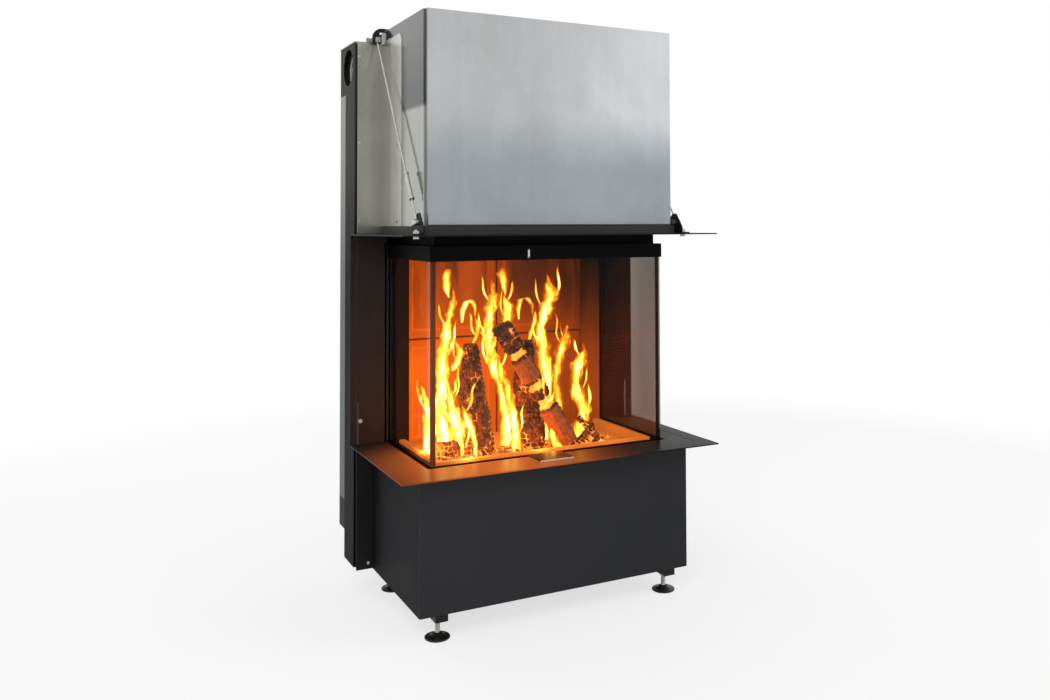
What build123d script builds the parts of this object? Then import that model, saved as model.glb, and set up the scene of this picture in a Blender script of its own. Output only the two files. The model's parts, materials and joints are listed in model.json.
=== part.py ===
from build123d import *
import os
from math import cos, hypot, pi, sin

os.makedirs("parts", exist_ok=True)

# A three-sided fireplace insert whose glass door rises into the hood.
# Millimetres. X to the right, the fire faces -Y, Z up from the floor; the origin is under the middle.

# Plates round the fire
plate_width = 826.0
plate_depth = 430.0
plate_t = 3.0
column_reach = 170.0
side_reach = 101.0
groove_inset = 47.0
groove_length = 311.0
groove_side = 17.0
groove_width = 2.0
groove_depth = 1.0

# Base
base_setback = 60.0
base_height = 313.0
base_sheet = 2.0
base_flange = 15.0
base_rear_inset = 55.0
foot_side_inset = 52.0
foot_front_inset = 30.0
foot_spacing_y = 335.0
foot_disc_r = 29.0
foot_disc_t = 5.0
foot_cone_r = 9.0
foot_cone_h = 8.0
foot_stem_r = 6.0
foot_stem_top = 108.0
bracket_width = 30.0
bracket_depth = 60.0
bracket_height = 15.5
bracket_wall = 2.0
foot_gap = 44.5
nut_af = 19.0
nut_t = 6.0
thread_clearance = 0.3
spigot_r = 62.5
spigot_wall = 1.5
spigot_length = 45.0
spigot_rise = 140.0

# Fire opening and hood
opening_height = 528.0
band_height = 20.0
band_width = 14.0
band_edge = 16.0
band_front_ear = 2.0
band_proud = 2.0
hood_height = 498.0
hood_sheet = 1.5
hood_setback = 82.0
hood_front_inset = 6.0
hood_front_t = 14.0
hood_edge_r = 4.0
hood_flange = 24.0
hood_top_flange = 15.0
casing_gap = 4.0
collar_rise = 10.0
collar_r = 100.0
collar_wall = 3.0
collar_clearance = 1.0

# Columns with guide channels and counterweights
column_gap = 42.0
column_width = 42.0
column_drop = 23.0
column_sheet = 1.5
channel_depth = 40.0
channel_web = 2.0
channel_recess = 5.0
channel_head_room = 8.0
shell_setback = 26.0
housing_depth = 51.0
head_height = 127.0
head_window_r = 48.0
head_window_drop = 57.0
lid_t = 3.0
lid_overhang = 2.0
shoe_cover_height = 77.0
pulley_drop = 64.0
pulley_rim_height = 4.0
pulley_rim_depth = 8.0
pulley_width = 8.0
pulley_web = 4.0
bearing_r = 17.5
hub_wall = 5.0
axle_r = 8.0
axle_boss_r = 12.5
axle_clip = 3.0
axle_gap = 0.5
axle_running_fit = 0.05
cable_r = 1.5
cable_clearance = 0.5
cable_front_inset = 34.0
cable_rear_inset = 24.0
weight_width = 34.0
weight_depth = 38.0
weight_length = 590.0
weight_drop = 53.0
weight_chamfer = 2.0
weight_buffer = 15.0
door_travel = 470.0

# Door
door_setback = 110.0
glass_t = 4.0
glass_bottom_drop = 7.0
glass_top_drop = 29.0
glass_gap = 0.3
glass_back_reach = 10.0
rail_width = 12.0
top_rail_proud = 2.0
top_rail_height = 35.0
bottom_rail_proud = 1.0
bottom_rail_height = 16.0
rail_edge = 5.0
bottom_rail_edge = 6.0
door_plate_gap = 7.0
door_upper_gap = 4.0
corner_strip = 10.0
corner_strip_t = 1.0
stile_width = 18.0
stile_depth = 28.0
stile_wall = 2.0
stile_gap = 2.0
seam = 0.2
shoe_height = 40.0
shoe_clearance = 0.5
shoe_inset = 8.0
shoe_low_rise = 19.0
shoe_high_drop = 109.0
runner_width = 8.0
runner_inset = 5.0
catch_x = -65.5
catch_width = 5.0
catch_proud = 3.2
catch_height = 24.0
catch_sill = 4.0
catch_drop = 7.0
seal_t = 2.5
seal_height = 8.0
seal_drop = 22.0
stop_gap = 0.3
stop_height = 9.7

# Fire chamber
lintel_gap = 3.0
lintel_t = 3.0
lintel_height = 80.0
dome_wall_height = 246.0
dome_taper = 150.0
dome_top_half = 110.0
dome_t = 3.0
chamber_reach = 64.0
rear_wall_t = 3.0
cheek_width = 34.0
cheek_setback = 18.0
cheek_t = 3.0
lining_t = 30.0
lining_gap = 3.0
lining_side_gap = 2.0
lining_joint_rise = 280.0
lining_seam = 0.4
frame_inset = 20.0
frame_width = 7.0
frame_depth = 3.0
pan_drop = 28.0
pan_t = 3.0
pan_wall = 2.0
pan_gap = 3.0
pan_front_gap = 2.0
ledge_width = 8.0
ledge_rise = 24.0
rim_rise = 32.0
rim_width = 15.0
slab_t = 14.0
slab_seam = 0.5
bearer_height = 30.0
bearer_width = 40.0
bearer_wall = 3.0
bearer_seat_gap = 10.0
rear_bearer_inset = 145.0
baffle_t = 25.0
baffle_rise = 46.0
baffle_length = 278.0
baffle_edge_r = 4.0
baffle_side_gap = 3.0
baffle_ledge = 10.0

# Casing details
cladding_t = 2.0
cladding_side_gap = 11.7
cladding_seam_reach = 0.6
cladding_seam = 0.8
cladding_slot_inset = 4.0
cladding_slot_width = 4.0
cladding_slot_height = 104.0
cover_t = 1.5
cover_front_inset = 1.0
cover_side_reach = 175.0
cover_bottom_rise = 1.0
cover_top_drop = 27.0
cover_corner_r = 20.0
screw_head_r = 4.0
screw_head_t = 2.5
screw_shank_r = 2.0
screw_hole_r = 2.3
cover_low_screw_rise = 32.0
cover_edge_screw_drop = 36.0
cover_edge_middle_drop = 12.0
cover_side_screw_drop = 63.0
cover_side_middle_drop = 9.5
cover_edge_screw_inset = 3.6
cover_side_screw_inset = 140.0

# Tie rods
tie_side_gap = 4.0
tie_low_inset = 92.0
tie_low_rise = 29.0
tie_high_inset = 17.0
tie_high_drop = 21.0
tie_rod_r = 2.25
tie_eye_r = 7.0
tie_eye_t = 6.0
tie_bolt_r = 4.0
sleeve_start = 70.0
sleeve_length = 65.0
sleeve_r = 5.0
sleeve_nut_r = 6.0
sleeve_nut_t = 6.0
clevis_inset = 58.0
clevis_length = 85.0
clevis_height = 50.0
clevis_t = 3.0
clevis_foot_width = 24.0
clevis_bolt_inset = 16.0
arch_t = 6.0
arch_reach = 7.0
arch_width = 76.0
arch_leg = 18.0
arch_leg_drop = 29.0
arch_bend = 24.0
tie_block = 12.0
bolt_af = 13.0
cladding_bolt_r = 5.0
cladding_bolt_inset = 9.0
cladding_bolt_rise = 58.0
skirt_screw_inset = 12.0
skirt_screw_rise = 16.0

# Air control
tab_left_x = -69.5
tab_width = 89.0
tab_reach = 70.0
tab_t = 3.0
tab_lift = 1.0
leg_gap = 1.5
valve_drop = 40.0
valve_side = 40.0
valve_reach = 54.0
valve_t = 2.0
seat_half = 170.0
seat_depth = 108.0
air_slot_width = 20.0
air_slot_length = 26.0
air_slot_pitch = 34.0
air_slot_count = 4
slide_gap = 0.3

# Fire load: for each log its foot and its head (X, Y behind the glass, Z above the hearth),
# the radius at the foot and at the head, and its number of split faces
ember_height = 6.0
ember_margin = 4.0
left_log_r = 42.0
middle_log_r = 44.0
post_head_r = 20.0
post_height = 273.0
leaning_log_r = 30.0
leaning_log_height = 322.0
lying_log_r = 23.0
stick_r = 11.0
left_log = ((-148.0, 132.0, 0.0), (-165.0, 128.0, post_height), left_log_r, post_head_r, 7)
middle_log = ((-3.0, 140.0, 0.0), (-11.0, 140.0, post_height), middle_log_r, post_head_r, 7)
leaning_log = ((84.0, 70.0, 8.0), (-100.0, 87.0, leaning_log_height), leaning_log_r, leaning_log_r, 6)
lying_log = ((-266.0, 106.0, 26.0), (-204.0, 110.0, 25.0), lying_log_r, lying_log_r, 6)
stick = ((192.0, 95.0, 0.0), (122.0, 100.0, 70.0), stick_r, stick_r, 5)
logs = (left_log, middle_log, leaning_log, lying_log, stick)

# Flames: for each tongue its place behind the glass, then its sections from the embers up,
# each with X, the height above the embers and half the width
flame_sides = 8
flame_flatness = 0.75
flame_seam = 0.3
tall_left_flame = (155.0, (
    (-216, 0, 28), (-217, 83, 35), (-222, 117, 33), (-228, 164, 22), (-230, 219, 17), (-222, 274, 18),
    (-216, 312, 13), (-208, 344, 3),
))
small_left_flame = (155.0, ((-262, 0, 12), (-265, 104, 10), (-271, 134, 10), (-280, 164, 6), (-284, 181, 2)))
left_curl_flame = (132.0, ((-204, 204, 6), (-196, 224, 13), (-188, 249, 13), (-201, 271, 7), (-209, 288, 2)))
between_flame = (160.0, (
    (-47, 0, 28), (-49, 40, 26), (-55, 84, 19), (-66, 129, 14), (-80, 173, 14), (-94, 218, 18),
    (-101, 253, 21), (-101, 288, 17), (-98, 318, 14), (-94, 344, 4),
))
low_middle_flame = (105.0, (
    (-52, 0, 19), (-55, 59, 16), (-62, 102, 15), (-76, 159, 15), (-90, 207, 10), (-98, 233, 2),
))
top_middle_flame = (95.0, ((-82, 302, 9), (-77, 328, 16), (-79, 344, 4)))
tall_right_flame = (160.0, (
    (56, 0, 9), (61, 73, 11), (63, 118, 13), (63, 162, 15), (56, 208, 19), (54, 244, 20), (44, 289, 13),
    (56, 324, 16), (62, 344, 5),
))
haze_right_flame = (190.0, (
    (118, 0, 10), (111, 109, 15), (101, 155, 14), (109, 200, 17), (130, 263, 17), (139, 295, 3),
))
right_flame = (120.0, (
    (131, 0, 11), (140, 46, 15), (149, 81, 17), (131, 118, 15), (121, 155, 15), (131, 189, 18), (142, 211, 15),
    (154, 233, 9), (152, 255, 2),
))
foot_right_flame = (60.0, ((43, 0, 13), (33, 40, 9), (24, 58, 2)))
foot_left_flame = (78.0, ((-200, 0, 9), (-204, 32, 7), (-211, 59, 8), (-224, 81, 2)))
flames = (
    tall_left_flame, small_left_flame, left_curl_flame, between_flame, low_middle_flame, top_middle_flame,
    tall_right_flame, haze_right_flame, right_flame, foot_right_flame, foot_left_flame,
)

# Places worked out from the sizes above, from front to rear
total_depth = plate_depth + column_reach
front_y = -total_depth / 2
rear_y = total_depth / 2
plate_back_y = front_y + plate_depth
base_front_y = front_y + base_setback
base_back_y = rear_y - base_rear_inset
seat_back_y = base_front_y + base_sheet + seat_depth
front_bearer_y = seat_back_y + bearer_seat_gap + bearer_width / 2
rear_bearer_y = base_back_y - rear_bearer_inset
hood_front_y = front_y + hood_setback
door_front_y = front_y + door_setback
glass_in_y = door_front_y + glass_t
glass_back_y = plate_back_y + glass_back_reach
bottom_rail_y = door_front_y - bottom_rail_proud
top_rail_y = door_front_y - top_rail_proud
low_opening_y = bottom_rail_y - door_plate_gap
high_opening_y = top_rail_y - door_upper_gap
lintel_y = top_rail_y + rail_width + lintel_gap
dome_y = lintel_y + lintel_t
cheek_front_y = plate_back_y - cheek_setback
stile_front_y = plate_back_y + stile_gap
stile_back_y = stile_front_y + stile_depth
channel_back_y = plate_back_y + channel_depth
chamber_rear_y = plate_back_y + chamber_reach
rear_wall_y = chamber_rear_y - rear_wall_t
lining_back_y = rear_wall_y - lining_gap
lining_front_y = lining_back_y - lining_t
flue_y = (dome_y + chamber_rear_y) / 2
shell_front_y = plate_back_y + shell_setback
column_back_y = rear_y - lid_overhang
shell_rear_y = column_back_y - housing_depth
cable_front_y = plate_back_y + cable_front_inset
cable_rear_y = rear_y - cable_rear_inset
pulley_y = (cable_front_y + cable_rear_y) / 2
pulley_pitch_r = (cable_rear_y - cable_front_y) / 2
pulley_rim_r = pulley_pitch_r + pulley_rim_height
clevis_front_y = front_y + clevis_inset
clevis_back_y = clevis_front_y + clevis_length
clevis_bolt_y = clevis_front_y + clevis_bolt_inset
tie_low_y = front_y + tie_low_inset
tie_high_y = plate_back_y - tie_high_inset
cover_side_screw_y = plate_back_y - cover_side_screw_inset

# From the middle outwards
plate_half = plate_width / 2
glass_half = plate_half - side_reach
glass_in_x = glass_half - glass_t
bottom_rail_x = glass_half + bottom_rail_proud
top_rail_x = glass_half + top_rail_proud
low_opening_x = bottom_rail_x + door_plate_gap
high_opening_x = top_rail_x + door_upper_gap
band_side_x = high_opening_x + band_edge
band_front_x = band_side_x + band_front_ear
hood_front_half = band_side_x - hood_front_inset
column_inner_x = glass_half + column_gap
column_outer_x = column_inner_x + column_width
channel_web_x = column_outer_x - channel_recess
pulley_x = (column_inner_x + column_outer_x) / 2
foot_x = column_inner_x - foot_side_inset
groove_x = column_inner_x + groove_side
stile_inner_x = glass_half - rail_width
stile_outer_x = stile_inner_x + stile_width
lintel_x = top_rail_x - rail_width - lintel_gap
dome_x = lintel_x - lintel_t
pan_x = bottom_rail_x - rail_width - pan_gap
pan_y = bottom_rail_y + rail_width + pan_front_gap
rim_x = pan_x - ledge_width
rim_y = pan_y + ledge_width
cheek_in_x = pan_x - cheek_width
lining_half = cheek_in_x - lining_side_gap
cover_front_reach = column_outer_x - cover_front_inset
cladding_inner_x = glass_half + cladding_side_gap
cladding_seam_x = column_outer_x + cladding_seam_reach
cladding_slot_x = column_outer_x - cladding_slot_inset
cladding_bolt_x = column_outer_x - cladding_bolt_inset
skirt_screw_x = column_inner_x + skirt_screw_inset
tie_x = column_inner_x - tie_side_gap
arch_outer_x = column_inner_x + arch_reach
arch_inner_x = arch_outer_x - arch_width
ear_out_x = tie_x - tie_eye_t / 2
ear_in_x = ear_out_x - clevis_t
clevis_bolt_x = ear_out_x + (clevis_foot_width - clevis_t) / 2

# From the floor upwards
base_z = foot_gap + bracket_height
spigot_z = base_z + spigot_rise
low_plate_z = base_z + base_height
low_plate_top = low_plate_z + plate_t
high_plate_z = low_plate_top + opening_height
high_plate_top = high_plate_z + plate_t
hood_z = high_plate_top + band_height
hood_top = hood_z + hood_height
collar_top = hood_top + collar_rise
glass_bottom_z = low_plate_z - glass_bottom_drop
glass_top_z = high_plate_z - glass_top_drop
bottom_rail_z = glass_bottom_z - bottom_rail_edge
bottom_rail_top = bottom_rail_z + bottom_rail_height
top_rail_top = glass_top_z + rail_edge
top_rail_z = top_rail_top - top_rail_height
shoe_low_z = low_plate_top + shoe_low_rise
shoe_high_z = high_plate_z - shoe_high_drop
dome_taper_z = high_plate_z + dome_wall_height
dome_top_z = dome_taper_z + dome_taper
baffle_z = high_plate_z + baffle_rise
pan_z = low_plate_z - pan_drop
pan_top = pan_z + pan_t
ledge_top_z = pan_top + ledge_rise
rim_top_z = pan_top + rim_rise
lining_joint_z = pan_top + lining_joint_rise
column_top_z = hood_top - column_drop
head_bottom_z = column_top_z - head_height
head_window_z = column_top_z - head_window_drop
pulley_z = column_top_z - pulley_drop
weight_top_z = pulley_z - weight_drop
housing_bottom_z = weight_top_z - weight_length - door_travel - weight_buffer
shoe_bottom_z = housing_bottom_z - shoe_cover_height
cover_bottom_z = high_plate_top + cover_bottom_rise
cover_top_z = hood_top - cover_top_drop
cladding_bolt_z = low_plate_top + cladding_bolt_rise
skirt_screw_z = base_z + skirt_screw_rise
tie_low_z = high_plate_top + tie_low_rise
tie_high_z = hood_top - tie_high_drop
sides = (-1, 1)


def screw_row(top_drop, middle_drop):
    """Heights of the three screws of a cover: near its foot, near its top and a little below the middle."""
    low = cover_bottom_z + cover_low_screw_rise
    high = cover_top_z - top_drop
    return (low, (low + high) / 2 - middle_drop, high)


cover_edge_screw_z = screw_row(cover_edge_screw_drop, cover_edge_middle_drop)
cover_side_screw_z = screw_row(cover_side_screw_drop, cover_side_middle_drop)


def block(x0, x1, y0, y1, z0, z1, mode=Mode.ADD):
    """A rectangular block between two corners."""
    with Locations(((x0 + x1) / 2, (y0 + y1) / 2, (z0 + z1) / 2)):
        Box(abs(x1 - x0), abs(y1 - y0), abs(z1 - z0), mode=mode)


def three_sided_plan(outer_x, outer_y, inner_x, inner_y, back_y):
    """Plan of a frame round the front and both sides of the fire, open to the rear."""
    with Locations((0, (outer_y + back_y) / 2)):
        Rectangle(2 * outer_x, back_y - outer_y)
    with Locations((0, (inner_y + back_y) / 2)):
        Rectangle(2 * inner_x, back_y - inner_y, mode=Mode.SUBTRACT)


def three_bars(outer_x, outer_y, width, back_y, z0, z1):
    """Front bar and two side bars round the fire, butted at the corners with a hairline seam."""
    block(-outer_x, outer_x, outer_y, outer_y + width, z0, z1)
    for side in sides:
        block(side * (outer_x - width), side * outer_x, outer_y + width + seam, back_y, z0, z1)


def glass_slots(z0, z1):
    """Grooves in which the three panes sit with a small gap."""
    block(
        -glass_half - glass_gap, glass_half + glass_gap,
        door_front_y - glass_gap, glass_in_y + glass_gap, z0, z1, mode=Mode.SUBTRACT,
    )
    for side in sides:
        block(
            side * (glass_in_x - glass_gap), side * (glass_half + glass_gap),
            glass_in_y, glass_back_y + glass_gap, z0, z1, mode=Mode.SUBTRACT,
        )


def disc(plane, radius, thickness, bore=0.0):
    """A round disc, drum or ring that grows from a plane along its normal."""
    with BuildSketch(plane) as profile:
        Circle(radius)
        if bore:
            Circle(bore, mode=Mode.SUBTRACT)
    extrude(profile.sketch, amount=thickness)


def hexagon(plane, across_flats, thickness, bore=0.0):
    """A hexagon nut or bolt head that grows from a plane along its normal."""
    with BuildSketch(plane) as profile:
        RegularPolygon(across_flats / 2, 6, major_radius=False)
        if bore:
            Circle(bore, mode=Mode.SUBTRACT)
    extrude(profile.sketch, amount=thickness)


def cut_hole(plane, radius, depth):
    """A round hole cut from a plane along its normal."""
    with BuildSketch(plane) as profile:
        Circle(radius)
    extrude(profile.sketch, amount=depth, mode=Mode.SUBTRACT)


def along(x, y, z, direction):
    """A plane at a point with its normal along a direction."""
    return Plane(origin=(x, y, z), z_dir=direction)


def save(part, name):
    """Label a finished piece and write it."""
    part.label = name
    export_step(part, f"parts/{name}.step")


foot_front_y = base_front_y + foot_front_inset
foot_places = [
    (name, side * foot_x, y)
    for name, y in (("front", foot_front_y), ("rear", foot_front_y + foot_spacing_y))
    for side in sides
]

# Base casing

with BuildPart() as base_front_panel:
    block(-column_inner_x, column_inner_x, base_front_y, base_front_y + base_sheet, base_z, low_plate_z)
    for z0, z1 in ((base_z + base_sheet, base_z + 2 * base_sheet), (low_plate_z - base_sheet, low_plate_z)):
        block(
            -column_inner_x + base_flange, column_inner_x - base_flange,
            base_front_y + base_sheet, base_front_y + base_flange, z0, z1,
        )
save(base_front_panel.part, "base_front_panel")

base_inner_x = column_inner_x - base_sheet
with BuildPart() as base_side_rear_panels:
    for side in sides:
        block(
            side * base_inner_x, side * column_inner_x,
            base_front_y + base_sheet, base_back_y, base_z, low_plate_z,
        )
    block(
        -base_inner_x + seam, base_inner_x - seam,
        base_back_y - base_sheet, base_back_y, base_z, low_plate_z,
    )
    cut_hole(along(0, base_back_y, spigot_z, (0, -1, 0)), spigot_r - spigot_wall, base_sheet)
save(base_side_rear_panels.part, "base_side_rear_panels")

with BuildPart() as base_floor:
    block(
        -base_inner_x, base_inner_x,
        base_front_y + base_sheet, base_back_y - base_sheet, base_z, base_z + base_sheet,
    )
    for name, x, y in foot_places:
        cut_hole(along(x, y, base_z, (0, 0, 1)), foot_stem_r + 2 * thread_clearance, base_sheet)
save(base_floor.part, "base_floor")

with BuildPart() as air_spigot:
    disc(along(0, base_back_y, spigot_z, (0, 1, 0)), spigot_r, spigot_length, spigot_r - spigot_wall)
save(air_spigot.part, "air_spigot")

# Feet

with BuildPart() as foot_brackets:
    for name, x, y in foot_places:
        half = bracket_width / 2
        y0, y1 = y - bracket_depth / 2, y + bracket_depth / 2
        block(x - half, x + half, y0, y1, foot_gap, base_z)
        block(
            x - half + bracket_wall, x + half - bracket_wall, y0 + bracket_wall, y1,
            foot_gap + bracket_wall, base_z - bracket_wall, mode=Mode.SUBTRACT,
        )
        cut_hole(along(x, y, foot_gap, (0, 0, 1)), foot_stem_r + 2 * thread_clearance, bracket_height)
save(foot_brackets.part, "foot_brackets")

for name, x, y in foot_places:
    with BuildPart() as foot:
        disc(along(x, y, 0, (0, 0, 1)), foot_disc_r, foot_disc_t)
        with BuildSketch(along(x, y, foot_disc_t, (0, 0, 1))):
            Circle(foot_disc_r - foot_disc_t)
        with BuildSketch(along(x, y, foot_disc_t + foot_cone_h, (0, 0, 1))):
            Circle(foot_cone_r)
        loft()
        disc(
            along(x, y, foot_disc_t + foot_cone_h, (0, 0, 1)),
            foot_stem_r, foot_stem_top - foot_disc_t - foot_cone_h,
        )
    hand = "left" if x < 0 else "right"
    save(foot.part, f"foot_{name}_{hand}")

# Plates and frame band

with BuildPart() as lower_plate:
    with BuildSketch(Plane.XY.offset(low_plate_z)):
        three_sided_plan(plate_half, front_y, low_opening_x, low_opening_y, plate_back_y)
    extrude(amount=plate_t)
    for side in sides:
        block(
            side * (groove_x - groove_width / 2), side * (groove_x + groove_width / 2),
            front_y + groove_inset, front_y + groove_inset + groove_length,
            low_plate_top - groove_depth, low_plate_top, mode=Mode.SUBTRACT,
        )
save(lower_plate.part, "lower_plate")

with BuildPart() as upper_plate:
    with BuildSketch(Plane.XY.offset(high_plate_z)):
        three_sided_plan(plate_half, front_y, high_opening_x, high_opening_y, plate_back_y)
    extrude(amount=plate_t)
    for side in sides:
        cut_hole(
            along(side * clevis_bolt_x, clevis_bolt_y, high_plate_z, (0, 0, 1)),
            tie_bolt_r + thread_clearance, plate_t,
        )
save(upper_plate.part, "upper_plate")

band_front_y = hood_front_y - band_proud
band_back_y = plate_back_y - cladding_t
with BuildPart() as upper_frame_band:
    with BuildSketch(Plane.XY.offset(high_plate_top)):
        with Locations((0, band_front_y + band_width / 2)):
            Rectangle(2 * band_front_x, band_width)
        for side in sides:
            with Locations((side * (band_side_x - band_width / 2), (band_front_y + band_back_y) / 2)):
                Rectangle(band_width, band_back_y - band_front_y)
    extrude(amount=band_height)
save(upper_frame_band.part, "upper_frame_band")

# Hood casing

with BuildPart() as hood_front_panel:
    block(
        -hood_front_half, hood_front_half,
        hood_front_y, hood_front_y + hood_front_t, hood_z, hood_top,
    )
    fillet(edges().group_by(Axis.Y)[0], radius=hood_edge_r)
    block(
        -hood_front_half + hood_sheet, hood_front_half - hood_sheet,
        hood_front_y + hood_sheet + hood_edge_r / 2, hood_front_y + hood_front_t,
        hood_z + hood_sheet, hood_top - hood_sheet, mode=Mode.SUBTRACT,
    )
save(hood_front_panel.part, "hood_front_panel")

hood_side_front_y = hood_front_y + hood_front_t
with BuildPart() as hood_side_panels:
    block(
        band_side_x - hood_sheet, band_side_x,
        hood_side_front_y, band_back_y, hood_z, hood_top - hood_sheet,
    )
    block(
        band_side_x - hood_flange, band_side_x - hood_sheet,
        hood_side_front_y, hood_side_front_y + hood_sheet, hood_z, hood_top - hood_sheet,
    )
    block(
        band_side_x - hood_top_flange, band_side_x - hood_sheet, hood_side_front_y + hood_sheet,
        band_back_y, hood_top - 2 * hood_sheet, hood_top - hood_sheet,
    )
    mirror(about=Plane.YZ)
save(hood_side_panels.part, "hood_side_panels")

rear_casing_y = chamber_rear_y + casing_gap
with BuildPart() as hood_top_panel:
    block(
        -band_side_x, band_side_x, hood_side_front_y, rear_casing_y,
        hood_top - hood_sheet, hood_top,
    )
    cut_hole(
        along(0, flue_y, hood_top - hood_sheet, (0, 0, 1)),
        collar_r + collar_wall + collar_clearance, hood_sheet,
    )
save(hood_top_panel.part, "hood_top_panel")

with BuildPart() as rear_casing:
    block(
        -column_inner_x, column_inner_x,
        rear_casing_y, rear_casing_y + base_sheet, low_plate_z, hood_top,
    )
    block(
        -column_inner_x, column_inner_x,
        rear_casing_y + base_sheet, base_back_y, low_plate_z, low_plate_z + base_sheet,
    )
save(rear_casing.part, "rear_casing")

# Galvanised covers beside the hood, cladding beside the door

cover_front_y = plate_back_y - cover_t
cover_side_y = plate_back_y - cover_side_reach
cover_edge_screw_x = cover_front_reach - cover_edge_screw_inset
with BuildPart() as hood_covers:
    block(
        band_side_x, cover_front_reach, cover_front_y, plate_back_y, cover_bottom_z, cover_top_z,
    )
    with BuildSketch(Plane.YZ.offset(band_side_x)):
        with Locations(((cover_side_y + cover_front_y) / 2, (hood_z + cover_top_z) / 2)):
            Rectangle(cover_front_y - cover_side_y, cover_top_z - hood_z)
        fillet(vertices().sort_by(Axis.X)[:2].sort_by(Axis.Y)[-1], radius=cover_corner_r)
    extrude(amount=cover_t)
    for z in cover_edge_screw_z:
        cut_hole(along(cover_edge_screw_x, cover_front_y, z, (0, 1, 0)), screw_hole_r, cover_t)
    for z in cover_side_screw_z:
        cut_hole(along(band_side_x, cover_side_screw_y, z, (1, 0, 0)), screw_hole_r, cover_t)
    mirror(about=Plane.YZ)
save(hood_covers.part, "hood_covers")

cladding_y = plate_back_y - cladding_t
with BuildPart() as front_cladding:
    block(cladding_inner_x, cladding_seam_x, cladding_y, plate_back_y, low_plate_top, high_plate_z)
    block(
        cladding_seam_x + cladding_seam, plate_half, cladding_y, plate_back_y,
        low_plate_top, high_plate_z,
    )
    block(
        cladding_slot_x - cladding_slot_width / 2, cladding_slot_x + cladding_slot_width / 2,
        cladding_y, plate_back_y, low_plate_top, low_plate_top + cladding_slot_height,
        mode=Mode.SUBTRACT,
    )
    mirror(about=Plane.YZ)
save(front_cladding.part, "front_cladding")

# Columns

with BuildPart() as guide_channels:
    block(channel_web_x - channel_web, channel_web_x, plate_back_y, channel_back_y, base_z, cover_top_z)
    block(
        column_inner_x, channel_web_x - channel_web,
        plate_back_y, plate_back_y + channel_web, base_z, cover_top_z,
    )
    block(
        column_inner_x, channel_web_x - channel_web,
        channel_back_y - channel_web, channel_back_y, base_z, cover_top_z,
    )
    block(
        column_inner_x, channel_web_x - channel_web, channel_back_y - channel_web, channel_back_y,
        pulley_z - pulley_rim_r - channel_head_room, cover_top_z, mode=Mode.SUBTRACT,
    )
    block(
        column_inner_x + shoe_inset, channel_web_x - channel_web, plate_back_y + channel_web,
        channel_back_y - channel_web, shoe_low_z - stop_gap - stop_height, shoe_low_z - stop_gap,
    )
    mirror(about=Plane.YZ)
save(guide_channels.part, "guide_channels")

column_skin_x = column_outer_x - column_sheet
with BuildPart() as column_shells:
    block(column_skin_x, column_outer_x, shell_front_y, shell_rear_y, base_z, head_bottom_z)
    block(
        channel_web_x, column_skin_x, shell_front_y, shell_front_y + column_sheet,
        base_z, head_bottom_z,
    )
    block(
        column_inner_x, column_skin_x, shell_rear_y - column_sheet, shell_rear_y,
        base_z, head_bottom_z,
    )
    block(
        column_inner_x, column_inner_x + column_sheet, channel_back_y,
        shell_rear_y - column_sheet, base_z, head_bottom_z,
    )
    mirror(about=Plane.YZ)
save(column_shells.part, "column_shells")

with BuildPart() as column_heads:
    block(column_skin_x, column_outer_x, shell_front_y, column_back_y, head_bottom_z, column_top_z)
    block(
        channel_web_x, column_skin_x, shell_front_y, shell_front_y + column_sheet,
        head_bottom_z, column_top_z,
    )
    block(
        column_inner_x, column_skin_x, column_back_y - column_sheet, column_back_y,
        head_bottom_z, column_top_z,
    )
    block(
        column_inner_x, column_inner_x + column_sheet, channel_back_y,
        column_back_y - column_sheet, head_bottom_z, column_top_z,
    )
    cut_hole(
        along(column_skin_x, pulley_y, head_window_z, (1, 0, 0)), head_window_r, column_sheet,
    )
    mirror(about=Plane.YZ)
save(column_heads.part, "column_heads")

with BuildPart() as column_lids:
    block(
        column_inner_x, column_outer_x + lid_overhang,
        shell_front_y - lid_overhang, rear_y, column_top_z, column_top_z + lid_t,
    )
    mirror(about=Plane.YZ)
save(column_lids.part, "column_lids")


def hollow_post(z0, z1, floor_t=0.0):
    """The closed rear part of a column, round the counterweight."""
    block(column_inner_x, column_outer_x, shell_rear_y, column_back_y, z0, z1)
    block(
        column_inner_x + column_sheet, column_skin_x, shell_rear_y + column_sheet,
        column_back_y - column_sheet, z0 + floor_t, z1, mode=Mode.SUBTRACT,
    )


with BuildPart() as weight_housings:
    hollow_post(housing_bottom_z, head_bottom_z)
    mirror(about=Plane.YZ)
save(weight_housings.part, "weight_housings")

with BuildPart() as column_foot_covers:
    hollow_post(shoe_bottom_z, housing_bottom_z, column_sheet)
    block(column_inner_x, column_outer_x, cladding_y, plate_back_y, base_z, low_plate_z)
    mirror(about=Plane.YZ)
save(column_foot_covers.part, "column_foot_covers")

# Pulleys, axles, cables and counterweights

pulley_in_x = pulley_x - pulley_width / 2
pulley_out_x = pulley_x + pulley_width / 2
groove_half = cable_r + cable_clearance
groove_r = pulley_pitch_r - cable_r - thread_clearance
rim_inner_r = groove_r - pulley_rim_depth
hub_r = bearing_r + hub_wall
web_in = pulley_x - pulley_web / 2
web_out = pulley_x + pulley_web / 2

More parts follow.
